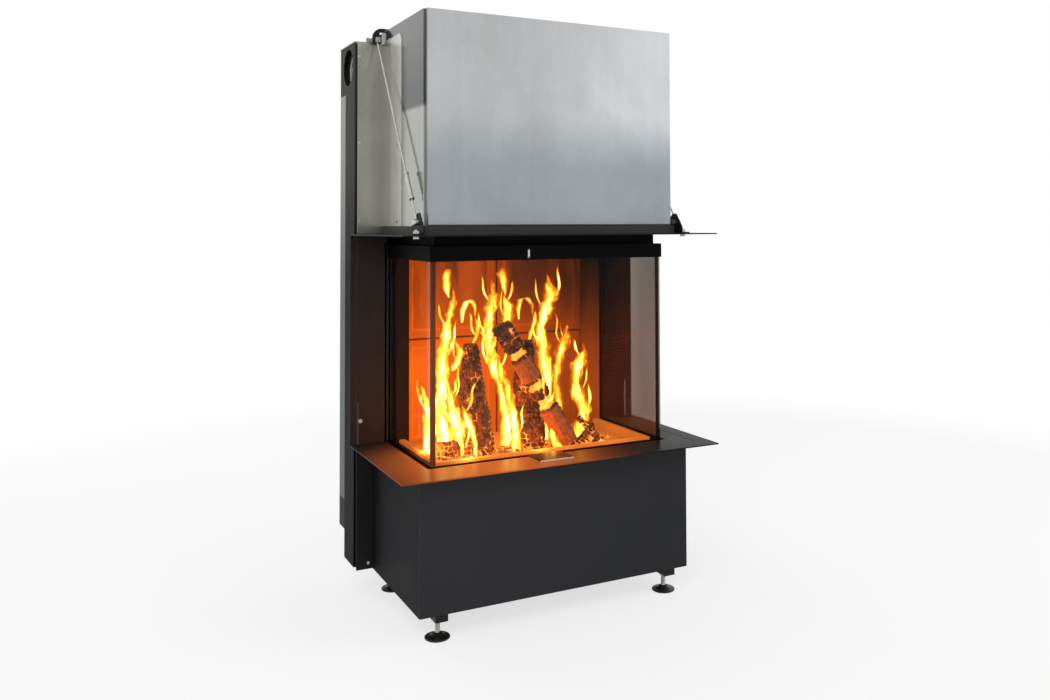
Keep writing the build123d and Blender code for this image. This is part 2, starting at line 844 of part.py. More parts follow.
for side, hand in ((-1, "left"), (1, "right")):
    turn_axis = Axis((0, pulley_y, pulley_z), (1, 0, 0))
    with BuildPart() as pulley:
        with BuildSketch(Plane(origin=(0, pulley_y, pulley_z), x_dir=(1, 0, 0), z_dir=(0, -1, 0))):
            with BuildLine():
                Polyline(
                    (side * pulley_in_x, bearing_r + axle_running_fit),
                    (side * pulley_in_x, hub_r),
                    (side * web_in, hub_r),
                    (side * web_in, rim_inner_r),
                    (side * pulley_in_x, rim_inner_r),
                    (side * pulley_in_x, pulley_rim_r),
                    (side * (pulley_x - groove_half), pulley_rim_r),
                    (side * (pulley_x - groove_half), groove_r),
                    (side * (pulley_x + groove_half), groove_r),
                    (side * (pulley_x + groove_half), pulley_rim_r),
                    (side * pulley_out_x, pulley_rim_r),
                    (side * pulley_out_x, rim_inner_r),
                    (side * web_out, rim_inner_r),
                    (side * web_out, hub_r),
                    (side * pulley_out_x, hub_r),
                    (side * pulley_out_x, bearing_r + axle_running_fit),
                    close=True,
                )
            make_face()
        revolve(axis=turn_axis)
        disc(
            along(side * pulley_in_x, pulley_y, pulley_z, (side, 0, 0)),
            bearing_r, pulley_width, axle_r + axle_running_fit,
        )
    save(pulley.part, f"pulley_{hand}")

    with BuildPart() as counterweight:
        block(
            side * (pulley_x - weight_width / 2), side * (pulley_x + weight_width / 2),
            cable_rear_y - weight_depth / 2, cable_rear_y + weight_depth / 2,
            weight_top_z - weight_length, weight_top_z,
        )
        chamfer(edges().filter_by(Axis.Z), length=weight_chamfer)
    save(counterweight.part, f"counterweight_{hand}")

    with BuildPart() as weight_cable:
        disc(along(side * pulley_x, cable_rear_y, weight_top_z, (0, 0, 1)), cable_r, weight_drop)
    save(weight_cable.part, f"weight_cable_{hand}")

with BuildPart() as door_cables:
    shoe_top = shoe_high_z + shoe_height
    disc(along(pulley_x, cable_front_y, shoe_top, (0, 0, 1)), cable_r, pulley_z - shoe_top)
    mirror(about=Plane.YZ)
save(door_cables.part, "door_cables")

with BuildPart() as cable_wraps:
    with BuildSketch(Plane.XY.offset(pulley_z)):
        with Locations((pulley_x, cable_front_y)):
            Circle(cable_r)
    revolve(axis=Axis((0, pulley_y, pulley_z), (-1, 0, 0)), revolution_arc=180)
    mirror(about=Plane.YZ)
save(cable_wraps.part, "cable_wraps")

with BuildPart() as pulley_axles:
    boss_x = column_inner_x + column_sheet
    disc(
        along(boss_x, pulley_y, pulley_z, (1, 0, 0)),
        axle_boss_r, pulley_in_x - axle_gap - boss_x,
    )
    disc(
        along(pulley_in_x - axle_gap, pulley_y, pulley_z, (1, 0, 0)),
        axle_r, pulley_width + 2 * axle_gap,
    )
    disc(
        along(pulley_out_x + axle_gap, pulley_y, pulley_z, (1, 0, 0)),
        axle_r + axle_clip, axle_clip,
    )
    mirror(about=Plane.YZ)
save(pulley_axles.part, "pulley_axles")

# Door

with BuildPart() as door_glass_front:
    block(-glass_half, glass_half, door_front_y, glass_in_y, glass_bottom_z, glass_top_z)
save(door_glass_front.part, "door_glass_front")

for side, hand in ((-1, "left"), (1, "right")):
    with BuildPart() as side_pane:
        block(
            side * glass_in_x, side * glass_half,
            glass_in_y + seam, glass_back_y, glass_bottom_z, glass_top_z,
        )
    save(side_pane.part, f"door_glass_{hand}")

with BuildPart() as door_rails:
    three_bars(top_rail_x, top_rail_y, rail_width, stile_front_y, top_rail_z, top_rail_top)
    three_bars(
        bottom_rail_x, bottom_rail_y, rail_width, stile_front_y, bottom_rail_z, bottom_rail_top,
    )
    glass_slots(glass_bottom_z - glass_gap, glass_top_z + glass_gap)
save(door_rails.part, "door_rails")

with BuildPart() as door_corner_strips:
    block(
        glass_in_x - corner_strip, glass_in_x, glass_in_y, glass_in_y + corner_strip_t,
        bottom_rail_top + seam, top_rail_z - seam,
    )
    block(
        glass_in_x - corner_strip_t, glass_in_x, glass_in_y, glass_in_y + corner_strip,
        bottom_rail_top + seam, top_rail_z - seam,
    )
    mirror(about=Plane.YZ)
save(door_corner_strips.part, "door_corner_strips")

with BuildPart() as door_stiles:
    block(stile_inner_x, stile_outer_x, stile_front_y, stile_back_y, bottom_rail_z, top_rail_top)
    block(
        stile_inner_x + stile_wall, stile_outer_x - stile_wall,
        stile_front_y + stile_wall, stile_back_y - stile_wall,
        bottom_rail_z, top_rail_top, mode=Mode.SUBTRACT,
    )
    block(
        glass_in_x - glass_gap, glass_half + glass_gap, stile_front_y, stile_front_y + stile_wall,
        glass_bottom_z - glass_gap, glass_top_z + glass_gap, mode=Mode.SUBTRACT,
    )
    mirror(about=Plane.YZ)
save(door_stiles.part, "door_stiles")

shoe_in_x = column_inner_x + shoe_inset
shoe_out_x = channel_web_x - channel_web - 2 * shoe_clearance
shoe_front_y = plate_back_y + channel_web + shoe_clearance
shoe_back_y = channel_back_y - channel_web - shoe_clearance
arm_y = stile_back_y - stile_depth / 2
with BuildPart() as door_carriages:
    for z in (shoe_low_z, shoe_high_z):
        block(shoe_in_x, shoe_out_x, shoe_front_y, shoe_back_y, z, z + shoe_height)
        block(
            stile_outer_x, shoe_in_x, arm_y - runner_width / 2, arm_y + runner_width / 2,
            z + runner_inset, z + shoe_height - runner_inset,
        )
    block(
        pulley_x - runner_width / 2, pulley_x + runner_width / 2,
        arm_y - runner_width / 2, arm_y + runner_width / 2, shoe_low_z + shoe_height, shoe_high_z,
    )
    mirror(about=Plane.YZ)
save(door_carriages.part, "door_carriages")

catch_top_z = top_rail_top - catch_drop
with BuildPart() as door_catch:
    with BuildSketch(Plane.YZ.offset(catch_x - catch_width / 2)):
        with BuildLine():
            Polyline(
                (top_rail_y, catch_top_z - catch_height),
                (top_rail_y - catch_proud, catch_top_z - catch_height + catch_sill),
                (top_rail_y - catch_proud, catch_top_z - catch_sill),
                (top_rail_y - catch_proud / 2, catch_top_z),
                (top_rail_y - catch_proud / 2, catch_top_z - catch_height / 2),
                (top_rail_y, catch_top_z - catch_height / 2 - catch_sill),
                close=True,
            )
        make_face()
    extrude(amount=catch_width)
save(door_catch.part, "door_catch")

seal_x = top_rail_x - rail_width
seal_y = top_rail_y + rail_width
seal_top_z = top_rail_top - seal_drop
with BuildPart() as door_seals:
    block(-seal_x + seal_t, seal_x - seal_t, seal_y, seal_y + seal_t, seal_top_z - seal_height, seal_top_z)
    for side in sides:
        block(
            side * (seal_x - seal_t + seam), side * seal_x, seal_y + seam, cheek_front_y,
            seal_top_z - seal_height, seal_top_z,
        )
save(door_seals.part, "door_seals")

# Fire chamber

with BuildPart() as lintel:
    three_bars(
        lintel_x, lintel_y, lintel_t, cheek_front_y - seam, top_rail_z, top_rail_z + lintel_height,
    )
save(lintel.part, "lintel")

with BuildPart() as smoke_dome:
    with BuildSketch(Plane.XY.offset(high_plate_z)):
        with Locations((0, flue_y)):
            Rectangle(2 * dome_x, chamber_rear_y - dome_y)
    extrude(amount=dome_wall_height)
    with BuildSketch(Plane.XY.offset(dome_taper_z)):
        with Locations((0, flue_y)):
            Rectangle(2 * dome_x, chamber_rear_y - dome_y)
    with BuildSketch(Plane.XY.offset(dome_top_z)):
        with Locations((0, flue_y)):
            Rectangle(2 * dome_top_half, 2 * dome_top_half)
    loft(ruled=True)
    offset(amount=-dome_t, openings=faces().sort_by(Axis.Z)[0])
    cut_hole(along(0, flue_y, dome_top_z - dome_t, (0, 0, 1)), collar_r, dome_t)
    for side in sides:
        block(
            side * (dome_x - dome_t - baffle_ledge), side * (dome_x - dome_t),
            rear_wall_y - baffle_length, rear_wall_y, baffle_z - baffle_ledge, baffle_z,
        )
save(smoke_dome.part, "smoke_dome")

with BuildPart() as baffle_plate:
    baffle_half = dome_x - dome_t - baffle_side_gap
    block(
        -baffle_half, baffle_half, rear_wall_y - baffle_length, rear_wall_y - baffle_side_gap,
        baffle_z, baffle_z + baffle_t,
    )
    fillet(edges().filter_by(Axis.X).group_by(Axis.Y)[0], radius=baffle_edge_r)
save(baffle_plate.part, "baffle_plate")

with BuildPart() as flue_collar:
    disc(
        along(0, flue_y, dome_top_z, (0, 0, 1)),
        collar_r + collar_wall, collar_top - dome_top_z, collar_r,
    )
save(flue_collar.part, "flue_collar")

with BuildPart() as firebox_rear_wall:
    block(-pan_x, pan_x, rear_wall_y, chamber_rear_y, pan_top, high_plate_z)
save(firebox_rear_wall.part, "firebox_rear_wall")

with BuildPart() as cheeks:
    block(cheek_in_x, pan_x, cheek_front_y, cheek_front_y + cheek_t, pan_top, high_plate_z)
    for x in (cheek_in_x, pan_x - cheek_t):
        block(x, x + cheek_t, cheek_front_y + cheek_t, rear_wall_y, pan_top, high_plate_z)
    mirror(about=Plane.YZ)
save(cheeks.part, "cheeks")


def lining_panel(x0, x1, z0, z1):
    """One chamotte panel with a pressed rectangular frame on its face."""
    block(x0, x1, lining_front_y, lining_back_y, z0, z1)
    for inset, mode in ((frame_inset, Mode.SUBTRACT), (frame_inset + frame_width, Mode.ADD)):
        block(
            x0 + inset, x1 - inset, lining_front_y, lining_front_y + frame_depth,
            z0 + inset, z1 - inset, mode=mode,
        )


with BuildPart() as back_lining:
    for z0, z1 in (
        (pan_top, lining_joint_z - lining_seam / 2),
        (lining_joint_z + lining_seam / 2, high_plate_z),
    ):
        lining_panel(-lining_half, -lining_seam / 2, z0, z1)
        lining_panel(lining_seam / 2, lining_half, z0, z1)
save(back_lining.part, "back_lining")

with BuildPart() as firebox_pan:
    block(-pan_x, pan_x, pan_y, chamber_rear_y, pan_z, pan_top)
    with BuildSketch(Plane.XY.offset(pan_top)):
        three_sided_plan(pan_x, pan_y, pan_x - pan_wall, pan_y + pan_wall, cheek_front_y - seam)
    extrude(amount=ledge_top_z - pan_top)
    with BuildSketch(Plane.XY.offset(ledge_top_z - pan_wall)):
        three_sided_plan(pan_x, pan_y, rim_x, rim_y, cheek_front_y - seam)
    extrude(amount=pan_wall)
save(firebox_pan.part, "firebox_pan")

with BuildPart() as pan_bearers:
    for y in (front_bearer_y, rear_bearer_y):
        y0, y1 = y - bearer_width / 2, y + bearer_width / 2
        block(-base_inner_x, base_inner_x, y0, y1, pan_z - bearer_height, pan_z)
        block(
            -base_inner_x, base_inner_x, y0 + bearer_wall, y1 - bearer_wall,
            pan_z - bearer_height, pan_z - bearer_wall, mode=Mode.SUBTRACT,
        )
save(pan_bearers.part, "pan_bearers")

slab_x = rim_x - rim_width - slab_seam
slab_y = rim_y + rim_width + slab_seam
slab_back_y = cheek_front_y - slab_seam
with BuildPart() as hearth_blocks:
    block(-rim_x, rim_x, rim_y, rim_y + rim_width, pan_top, rim_top_z)
    for side in sides:
        block(
            side * (rim_x - rim_width), side * rim_x,
            rim_y + rim_width + slab_seam, slab_back_y, pan_top, rim_top_z,
        )
        block(
            side * slab_seam / 2, side * slab_x, slab_y, slab_back_y, pan_top, pan_top + slab_t,
        )
    block(
        -cheek_in_x + slab_seam, cheek_in_x - slab_seam,
        slab_back_y + slab_seam, lining_front_y - slab_seam, pan_top, pan_top + slab_t,
    )
save(hearth_blocks.part, "hearth_blocks")

# Fire load: split logs standing and lying in a thin ember bed, with flames rising from it

hearth_z = pan_top + slab_t
ember_top_z = hearth_z + ember_height


def in_fire(x, y, z):
    """A point of the fire load: Y behind the glass, Z above the hearth."""
    return (x, door_front_y + y, hearth_z + z)


def split_log(foot, head, start_r, end_r, corners, grow=0.0, mode=Mode.ADD):
    """A split log with a few flat sides that tapers from one end to the other."""
    start = in_fire(*foot)
    end = in_fire(*head)
    reach = tuple(b - a for a, b in zip(start, end))
    across = Plane(origin=start, z_dir=reach)
    with BuildSketch(across) as foot_end:
        RegularPolygon(start_r + grow, corners)
    with BuildSketch(across.offset(hypot(*reach))) as head_end:
        RegularPolygon(end_r + grow, corners)
    loft([foot_end.sketch, head_end.sketch], ruled=True, mode=mode)


with BuildPart() as firewood_logs:
    for log in logs:
        split_log(*log)
    split(bisect_by=Plane.XY.offset(ember_top_z), keep=Keep.TOP)
save(firewood_logs.part, "firewood_logs")


def flame_section(x, y, z, half_width):
    """A level section of a flame: a flattened ring of straight sides."""
    turns = [2 * pi * corner / flame_sides for corner in range(flame_sides)]
    with BuildSketch(Plane(origin=(x, y, z))) as section:
        Polygon(*[(half_width * cos(turn), half_width * flame_flatness * sin(turn)) for turn in turns])
    return section.sketch


def tongue(behind, sections):
    """A flame from the embers to its tip, as a loft through its sections."""
    y = door_front_y + behind
    base_z = ember_top_z + flame_seam
    loft([flame_section(x, y, base_z + rise, half) for x, rise, half in sections], ruled=True)


with BuildPart() as fire:
    for flame in flames:
        tongue(*flame)
    for log in logs:
        split_log(*log, grow=flame_seam, mode=Mode.SUBTRACT)

with BuildPart() as ember_bed:
    ember_x = slab_x - ember_margin
    block(
        -ember_x, ember_x, slab_y + ember_margin, slab_back_y - ember_margin,
        hearth_z, ember_top_z,
    )
    chamfer(edges().group_by(Axis.Z)[-1], length=ember_height / 2)
    add(fire.part)
save(ember_bed.part, "ember_bed")

# Tie rods with turnbuckles and their brackets

tie_reach = (0, tie_high_y - tie_low_y, tie_high_z - tie_low_z)
tie_length = hypot(*tie_reach)
tie_unit = tuple(v / tie_length for v in tie_reach)


def tie_plane(distance):
    """A plane across the right tie rod at a distance from its lower eye."""
    return along(
        tie_x, tie_low_y + tie_unit[1] * distance, tie_low_z + tie_unit[2] * distance, tie_unit,
    )


with BuildPart() as tie_rods:
    disc(along(tie_x - tie_eye_t / 2, tie_low_y, tie_low_z, (1, 0, 0)), tie_eye_r, tie_eye_t)
    disc(tie_plane(0), tie_rod_r, tie_length - tie_block / 2)
    disc(tie_plane(sleeve_start), sleeve_r, sleeve_length)
    hexagon(tie_plane(sleeve_start - sleeve_nut_t), 2 * sleeve_nut_r, sleeve_nut_t)
    disc(tie_plane(sleeve_start + sleeve_length), sleeve_nut_r, sleeve_nut_t)
    block(
        tie_x - tie_block / 2, tie_x + tie_block / 2, tie_high_y - tie_block, tie_high_y,
        tie_high_z - tie_block / 2, tie_high_z + tie_block / 2,
    )
    cut_hole(
        along(tie_x - tie_eye_t / 2, tie_low_y, tie_low_z, (1, 0, 0)),
        tie_bolt_r + thread_clearance, tie_eye_t,
    )
    mirror(about=Plane.YZ)
save(tie_rods.part, "tie_rods")

with BuildPart() as tie_clevises:
    with BuildSketch(Plane.YZ.offset(ear_in_x)):
        with BuildLine():
            Polyline(
                (clevis_front_y, high_plate_top),
                (clevis_front_y, high_plate_top + clevis_height / 3),
                (tie_low_y - tie_eye_r, high_plate_top + clevis_height),
                (tie_low_y + tie_eye_r, high_plate_top + clevis_height),
                (clevis_back_y, high_plate_top + clevis_height / 3),
                (clevis_back_y, high_plate_top),
                close=True,
            )
        make_face()
    extrude(amount=clevis_t)
    block(
        ear_out_x, ear_in_x + clevis_foot_width, clevis_front_y, clevis_back_y,
        high_plate_top, high_plate_top + clevis_t,
    )
    cut_hole(
        along(ear_in_x, tie_low_y, tie_low_z, (1, 0, 0)), tie_bolt_r + thread_clearance, clevis_t,
    )
    cut_hole(
        along(clevis_bolt_x, clevis_bolt_y, high_plate_top, (0, 0, 1)),
        tie_bolt_r + thread_clearance, clevis_t,
    )
    mirror(about=Plane.YZ)
save(tie_clevises.part, "tie_clevises")

arch_leg_x = arch_outer_x - arch_leg
with BuildPart() as tie_arches:
    with BuildSketch(Plane.XZ.offset(-tie_high_y)):
        with BuildLine():
            Polyline(
                (arch_inner_x, hood_top),
                (arch_inner_x, collar_top),
                (arch_outer_x, collar_top),
                (arch_outer_x, hood_top - arch_leg_drop),
                (arch_leg_x, hood_top - arch_leg_drop),
                (arch_leg_x, hood_top),
                close=True,
            )
        make_face()
        fillet(vertices().sort_by(Axis.X)[-2:].sort_by(Axis.Y)[-1], radius=arch_bend)
    extrude(amount=-arch_t)
    mirror(about=Plane.YZ)
save(tie_arches.part, "tie_arches")

# Air control: tab and leg on a sliding valve plate, over its slotted seat

tab_right_x = tab_left_x + tab_width
tab_z = low_plate_top + tab_lift
leg_front_y = low_opening_y + leg_gap
leg_back_y = leg_front_y + tab_t
valve_z = low_plate_z - valve_drop
valve_mid_x = (tab_left_x + tab_right_x) / 2


def air_slots(z, plate_thickness, middle_x):
    """A row of slots cut through the valve plate or its seat."""
    with BuildSketch(Plane.XY.offset(z)) as slots:
        with Locations((middle_x, leg_back_y + valve_reach / 2)):
            with GridLocations(air_slot_pitch, air_slot_pitch, air_slot_count, 1):
                SlotOverall(air_slot_length, air_slot_width, rotation=90)
    extrude(slots.sketch, amount=plate_thickness, mode=Mode.SUBTRACT)


with BuildPart() as air_slider:
    block(tab_left_x, tab_right_x, leg_front_y - tab_reach, leg_back_y, tab_z, tab_z + tab_t)
    fillet(edges().filter_by(Axis.Z).group_by(Axis.Y)[0], radius=tab_t)
    block(tab_left_x, tab_right_x, leg_front_y, leg_back_y, valve_z, tab_z)
    block(
        tab_left_x - valve_side, tab_right_x + valve_side, leg_front_y, leg_back_y + valve_reach,
        valve_z, valve_z + valve_t,
    )
    air_slots(valve_z, valve_t, valve_mid_x)
save(air_slider.part, "air_slider")

with BuildPart() as valve_seat:
    seat_top_z = valve_z - slide_gap
    block(
        -seat_half, seat_half, base_front_y + base_sheet, seat_back_y,
        seat_top_z - valve_t, seat_top_z,
    )
    air_slots(seat_top_z - valve_t, valve_t, valve_mid_x)
save(valve_seat.part, "valve_seat")

# Fasteners: cover screws, tie bolts and nuts, cladding bolts, skirt screws, foot lock nuts


def pan_screw(x, y, z, direction, shank):
    """A pan head screw: the plane through the seat points out of the sheet."""
    out = along(x, y, z, direction)
    disc(out, screw_head_r, screw_head_t)
    disc(out, screw_shank_r, -shank)


with BuildPart() as fasteners:
    for z in cover_edge_screw_z:
        pan_screw(cover_edge_screw_x, cover_front_y, z, (0, -1, 0), cover_t)
    for z in cover_side_screw_z:
        pan_screw(band_side_x + cover_t, cover_side_screw_y, z, (1, 0, 0), cover_t)
    disc(along(cladding_bolt_x, cladding_y, cladding_bolt_z, (0, -1, 0)), cladding_bolt_r, screw_head_t)
    disc(along(skirt_screw_x, cladding_y, skirt_screw_z, (0, -1, 0)), screw_head_r, screw_head_t)
    bolt_low_z = high_plate_z - nut_t
    bolt_high_z = high_plate_top + clevis_t
    hexagon(along(clevis_bolt_x, clevis_bolt_y, bolt_low_z, (0, 0, 1)), bolt_af, nut_t)
    disc(
        along(clevis_bolt_x, clevis_bolt_y, high_plate_z, (0, 0, 1)),
        tie_bolt_r, bolt_high_z + nut_t - high_plate_z + clevis_t,
    )
    hexagon(along(clevis_bolt_x, clevis_bolt_y, bolt_high_z, (0, 0, 1)), bolt_af, nut_t)
    hexagon(along(ear_in_x, tie_low_y, tie_low_z, (-1, 0, 0)), bolt_af, nut_t)
    disc(
        along(ear_in_x, tie_low_y, tie_low_z, (1, 0, 0)), tie_bolt_r, clevis_t + tie_eye_t + seam,
    )
    hexagon(along(ear_out_x + tie_eye_t + seam, tie_low_y, tie_low_z, (1, 0, 0)), bolt_af, nut_t)
    mirror(about=Plane.YZ)
    for name, x, y in foot_places:
        hexagon(
            along(x, y, foot_gap - nut_t, (0, 0, 1)), nut_af, nut_t, foot_stem_r + thread_clearance,
        )
save(fasteners.part, "fasteners")
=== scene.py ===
"""Looks of a three-sided fireplace insert with a lifting glass door.

The frame gives every rigid piece at its real size. This script dresses those pieces, and adds what only
shows: wire ropes, threaded feet, charred firewood, embers and flames. Metres, Z up, the fire faces -Y.
"""
import json
import logging
import math
from dataclasses import dataclass, field
from enum import Enum

import bmesh
import bpy
import numpy as np
from mathutils import Matrix, Vector

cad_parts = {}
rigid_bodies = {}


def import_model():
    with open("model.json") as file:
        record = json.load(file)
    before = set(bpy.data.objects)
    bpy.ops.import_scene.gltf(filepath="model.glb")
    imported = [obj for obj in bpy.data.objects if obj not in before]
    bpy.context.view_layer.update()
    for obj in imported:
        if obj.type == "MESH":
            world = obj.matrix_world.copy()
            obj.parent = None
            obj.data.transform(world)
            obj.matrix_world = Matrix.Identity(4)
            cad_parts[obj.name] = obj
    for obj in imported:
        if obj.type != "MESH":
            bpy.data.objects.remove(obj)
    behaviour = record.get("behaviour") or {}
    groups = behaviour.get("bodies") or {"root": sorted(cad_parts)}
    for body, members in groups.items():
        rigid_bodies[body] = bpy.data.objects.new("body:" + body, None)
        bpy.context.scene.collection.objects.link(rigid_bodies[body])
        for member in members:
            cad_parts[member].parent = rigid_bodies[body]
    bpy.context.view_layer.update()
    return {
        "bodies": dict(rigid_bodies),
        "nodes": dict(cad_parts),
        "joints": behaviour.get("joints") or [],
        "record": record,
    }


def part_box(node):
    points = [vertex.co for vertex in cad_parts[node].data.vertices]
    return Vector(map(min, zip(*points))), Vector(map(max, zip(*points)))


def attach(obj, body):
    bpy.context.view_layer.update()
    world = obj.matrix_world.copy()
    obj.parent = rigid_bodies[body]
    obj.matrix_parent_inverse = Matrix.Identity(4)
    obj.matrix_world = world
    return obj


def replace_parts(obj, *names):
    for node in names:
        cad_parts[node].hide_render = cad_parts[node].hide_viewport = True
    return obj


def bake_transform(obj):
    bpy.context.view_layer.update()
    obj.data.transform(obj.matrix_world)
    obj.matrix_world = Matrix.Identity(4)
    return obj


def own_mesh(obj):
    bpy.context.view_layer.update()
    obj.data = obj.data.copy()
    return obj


log = logging.getLogger("insert")

Colour = tuple[float, float, float]
Point = tuple[float, float, float]

MM = 0.001
FULL_TURN = 2 * math.pi
EVEN: Point = (1, 1, 1)
WHITE: Colour = (1.0, 1.0, 1.0)

# Between these a noise has most of its values, and nearly all of them
MOST = (0.3, 0.7)
ALL = (0.25, 0.75)


def srgb(red: float, green: float, blue: float) -> Colour:
    """Linear colour of a colour given as 0 to 255 screen values.

    Args:
        red, green, blue: the screen values.

    Returns:
        The three linear values.
    """
    def linear(value: float) -> float:
        """One channel by the sRGB curve."""
        v = value / 255
        return v / 12.92 if v <= 0.04045 else ((v + 0.055) / 1.055) ** 2.4

    return (linear(red), linear(green), linear(blue))


# Shader trees


class Value:
    """An output of a node, whose arithmetic adds Math nodes to its tree."""

    def __init__(self, tree: "Tree", socket: bpy.types.NodeSocket) -> None:
        """Holds an output socket and its tree."""
        self.tree = tree
        self.socket = socket

    def __add__(self, other: "Value | float") -> "Value":
        """The sum."""
        return self.tree.maths("ADD", self, other)

    def __sub__(self, other: "Value | float") -> "Value":
        """The difference."""
        return self.tree.maths("SUBTRACT", self, other)

    def __rsub__(self, other: float) -> "Value":
        """A number less this value."""
        return self.tree.maths("SUBTRACT", other, self)

    def __mul__(self, other: "Value | float") -> "Value":
        """The product."""
        return self.tree.maths("MULTIPLY", self, other)

    def __pow__(self, power: float) -> "Value":
        """This value to a power."""
        return self.tree.maths("POWER", self, power)

    def __abs__(self) -> "Value":
        """This value without its sign."""
        return self.tree.maths("ABSOLUTE", self)

    def beside(self, name: str) -> "Value":
        """Another output of the same node."""
        return Value(self.tree, self.socket.node.outputs[name])

    def remap(self, low: float, high: float, to_low: float = 0.0, to_high: float = 1.0,
              smooth: bool = False) -> "Value":
        """Maps a range of this value onto another, held at its ends.

        Args:
            low, high: the range.
            to_low, to_high: what its two ends become.
            smooth: eases in and out.

        Returns:
            The mapped value.
        """
        sockets = {"Value": self, "From Min": low, "From Max": high, "To Min": to_low, "To Max": to_high}
        return self.tree.add("MapRange", sockets, "Result",
                             interpolation_type="SMOOTHSTEP" if smooth else "LINEAR")

    def ramp(self, *stops: tuple[float, Colour]) -> "Value":
        """Colours along this value.

        Args:
            stops: places from 0 to 1, each with its colour.

        Returns:
            The colour.
        """
        made = self.tree.add("ValToRGB", {"Fac": self}, "Color")
        elements = made.socket.node.color_ramp.elements
        while len(elements) < len(stops):
            elements.new(1.0)
        for element, (place, colour) in zip(elements, stops):
            element.position = place
            element.color = (*colour, 1.0)
        return made


class Tree:
    """A node tree with short ways to add what the finishes need."""

    def __init__(self, owner: bpy.types.Material | bpy.types.World, output: str = "OutputMaterial") -> None:
        """Empties the tree and gives it an output.

        Args:
            owner: the material or world whose tree it is.
            output: the output's node type without its ShaderNode prefix.
        """
        owner.use_nodes = True
        self.owner = owner
        self.nodes, self.links = owner.node_tree.nodes, owner.node_tree.links
        self.nodes.clear()
        self.output = self.nodes.new("ShaderNode" + output)
        self.place = self.nodes.new("ShaderNodeTexCoord")

    def put(self, socket: bpy.types.NodeSocket, value: object) -> None:
        """Links a socket to a value of the tree, or sets it to a number, a place or a colour.

        Args:
            socket: the input socket.
            value: what goes into it.
        """
        if isinstance(value, Value):
            self.links.new(value.socket, socket)
        elif socket.type == "RGBA":
            socket.default_value = (*value, 1.0)
        else:
            socket.default_value = value

    def add(self, kind: str, sockets: dict[str | int, object] | None = None, out: str | int = 0,
            **settings: object) -> Value:
        """Adds a node.

        Args:
            kind: the node type without its ShaderNode prefix.
            sockets: what goes into its inputs, by name or number.
            out: the name or number of the output that is wanted.
            settings: attributes to set on the node.

        Returns:
            The output.
        """
        made = self.nodes.new("ShaderNode" + kind)
        for key, value in settings.items():
            setattr(made, key, value)
        for key, value in (sockets or {}).items():
            self.put(made.inputs[key], value)
        return Value(self, made.outputs[out])

    def coordinates(self, name: str = "Object") -> Value:
        """The texture coordinates of that name."""
        return Value(self, self.place.outputs[name])

    def stretched(self, stretch: Point) -> Value:
        """Object coordinates scaled by a factor on each axis."""
        return self.add("Mapping", {"Vector": self.coordinates(), "Scale": stretch}, "Vector")

    def noise(self, scale: float, detail: float = 2.0, stretch: Point = EVEN, rough: float = 0.5,
              distortion: float = 0.0) -> Value:
        """Soft noise over Object coordinates, 0 to 1 about 0.5.

        Args:
            scale: waves in a metre.
            detail: finer layers laid over the first.
            stretch: a factor on each axis, and a small one draws the pattern out along it.
            rough: the share of the finer layers.
            distortion: how far the pattern is warped.

        Returns:
            The noise.
        """
        return self.add("TexNoise", {
            "Vector": self.stretched(stretch), "Scale": scale, "Detail": detail, "Roughness": rough,
            "Distortion": distortion,
        }, "Fac")

    def cells(self, scale: float) -> Value:
        """A grey for each Voronoi cell over Object coordinates, at that many cells a metre."""
        colour = self.add("TexVoronoi", {"Vector": self.stretched(EVEN), "Scale": scale}, "Color")
        return self.add("RGBToBW", {0: colour})

    def maths(self, operation: str, a: Value | float, b: Value | float = 0.0) -> Value:
        """One arithmetic step on two values."""
        return self.add("Math", {0: a, 1: b}, operation=operation)

    def most(self, *values: Value | float) -> Value:
        """The largest of some values.

        Args:
            values: two values or more.

        Returns:
            The largest.
        """
        first, *others = values
        for other in others:
            first = self.maths("MAXIMUM", first, other)
        return first

    def least(self, a: Value | float, b: Value | float) -> Value:
        """The smaller of two values."""
        return self.maths("MINIMUM", a, b)

    def axis(self, name: str) -> Value:
        """One Object coordinate, named X, Y or Z."""
        return self.add("SeparateXYZ", {0: self.coordinates()}, name)

    def away_from(self, centre: Point) -> Value:
        """Distance from a place, in metres."""
        return self.add("VectorMath", {0: self.coordinates(), 1: centre}, "Value", operation="DISTANCE")

    def attribute(self, name: str) -> Value:
        """A number stored on the mesh's points."""
        return self.add("Attribute", out="Fac", attribute_name=name)

    def seen(self) -> Value:
        """1 for a ray from the camera, off gloss or through glass, and 0 for one that only lights."""
        path = self.add("LightPath", out="Is Camera Ray")
        return self.most(path, path.beside("Is Glossy Ray"), path.beside("Is Transmission Ray"))

    def mix(self, factor: Value | float, a: Value | Colour, b: Value | Colour, blend: str = "MIX") -> Value:
        """Blends two colours.

        Args:
            factor: the share of the second.
            a, b: the two colours.
            blend: how the second goes on.

        Returns:
            The colour.
        """
        return self.add("Mix", {0: factor, 6: a, 7: b}, 2, data_type="RGBA", blend_type=blend)

    def scaled(self, colour: Value | Colour, factor: Value) -> Value:
        """A colour multiplied by a number."""
        grey = self.add("CombineColor", dict.fromkeys(range(3), factor))
        return self.mix(1.0, colour, grey, "MULTIPLY")

    def bump(self, height: Value, distance: float) -> Value:
        """A normal raised by a height of that many metres."""
        return self.add("Bump", {"Strength": 1.0, "Distance": distance, "Height": height}, "Normal")

    def either(self, factor: Value, first: Value, second: Value) -> Value:
        """One shader that goes over into another."""
        return self.add("MixShader", {0: factor, 1: first, 2: second})

    def finish(self, shader: Value) -> bpy.types.Material | bpy.types.World:
        """Puts a shader on the surface and returns the material or world."""
        self.put(self.output.inputs["Surface"], shader)
        return self.owner


def material_tree(name: str) -> Tree:
    """The tree of a new material."""
    return Tree(bpy.data.materials.new(name))


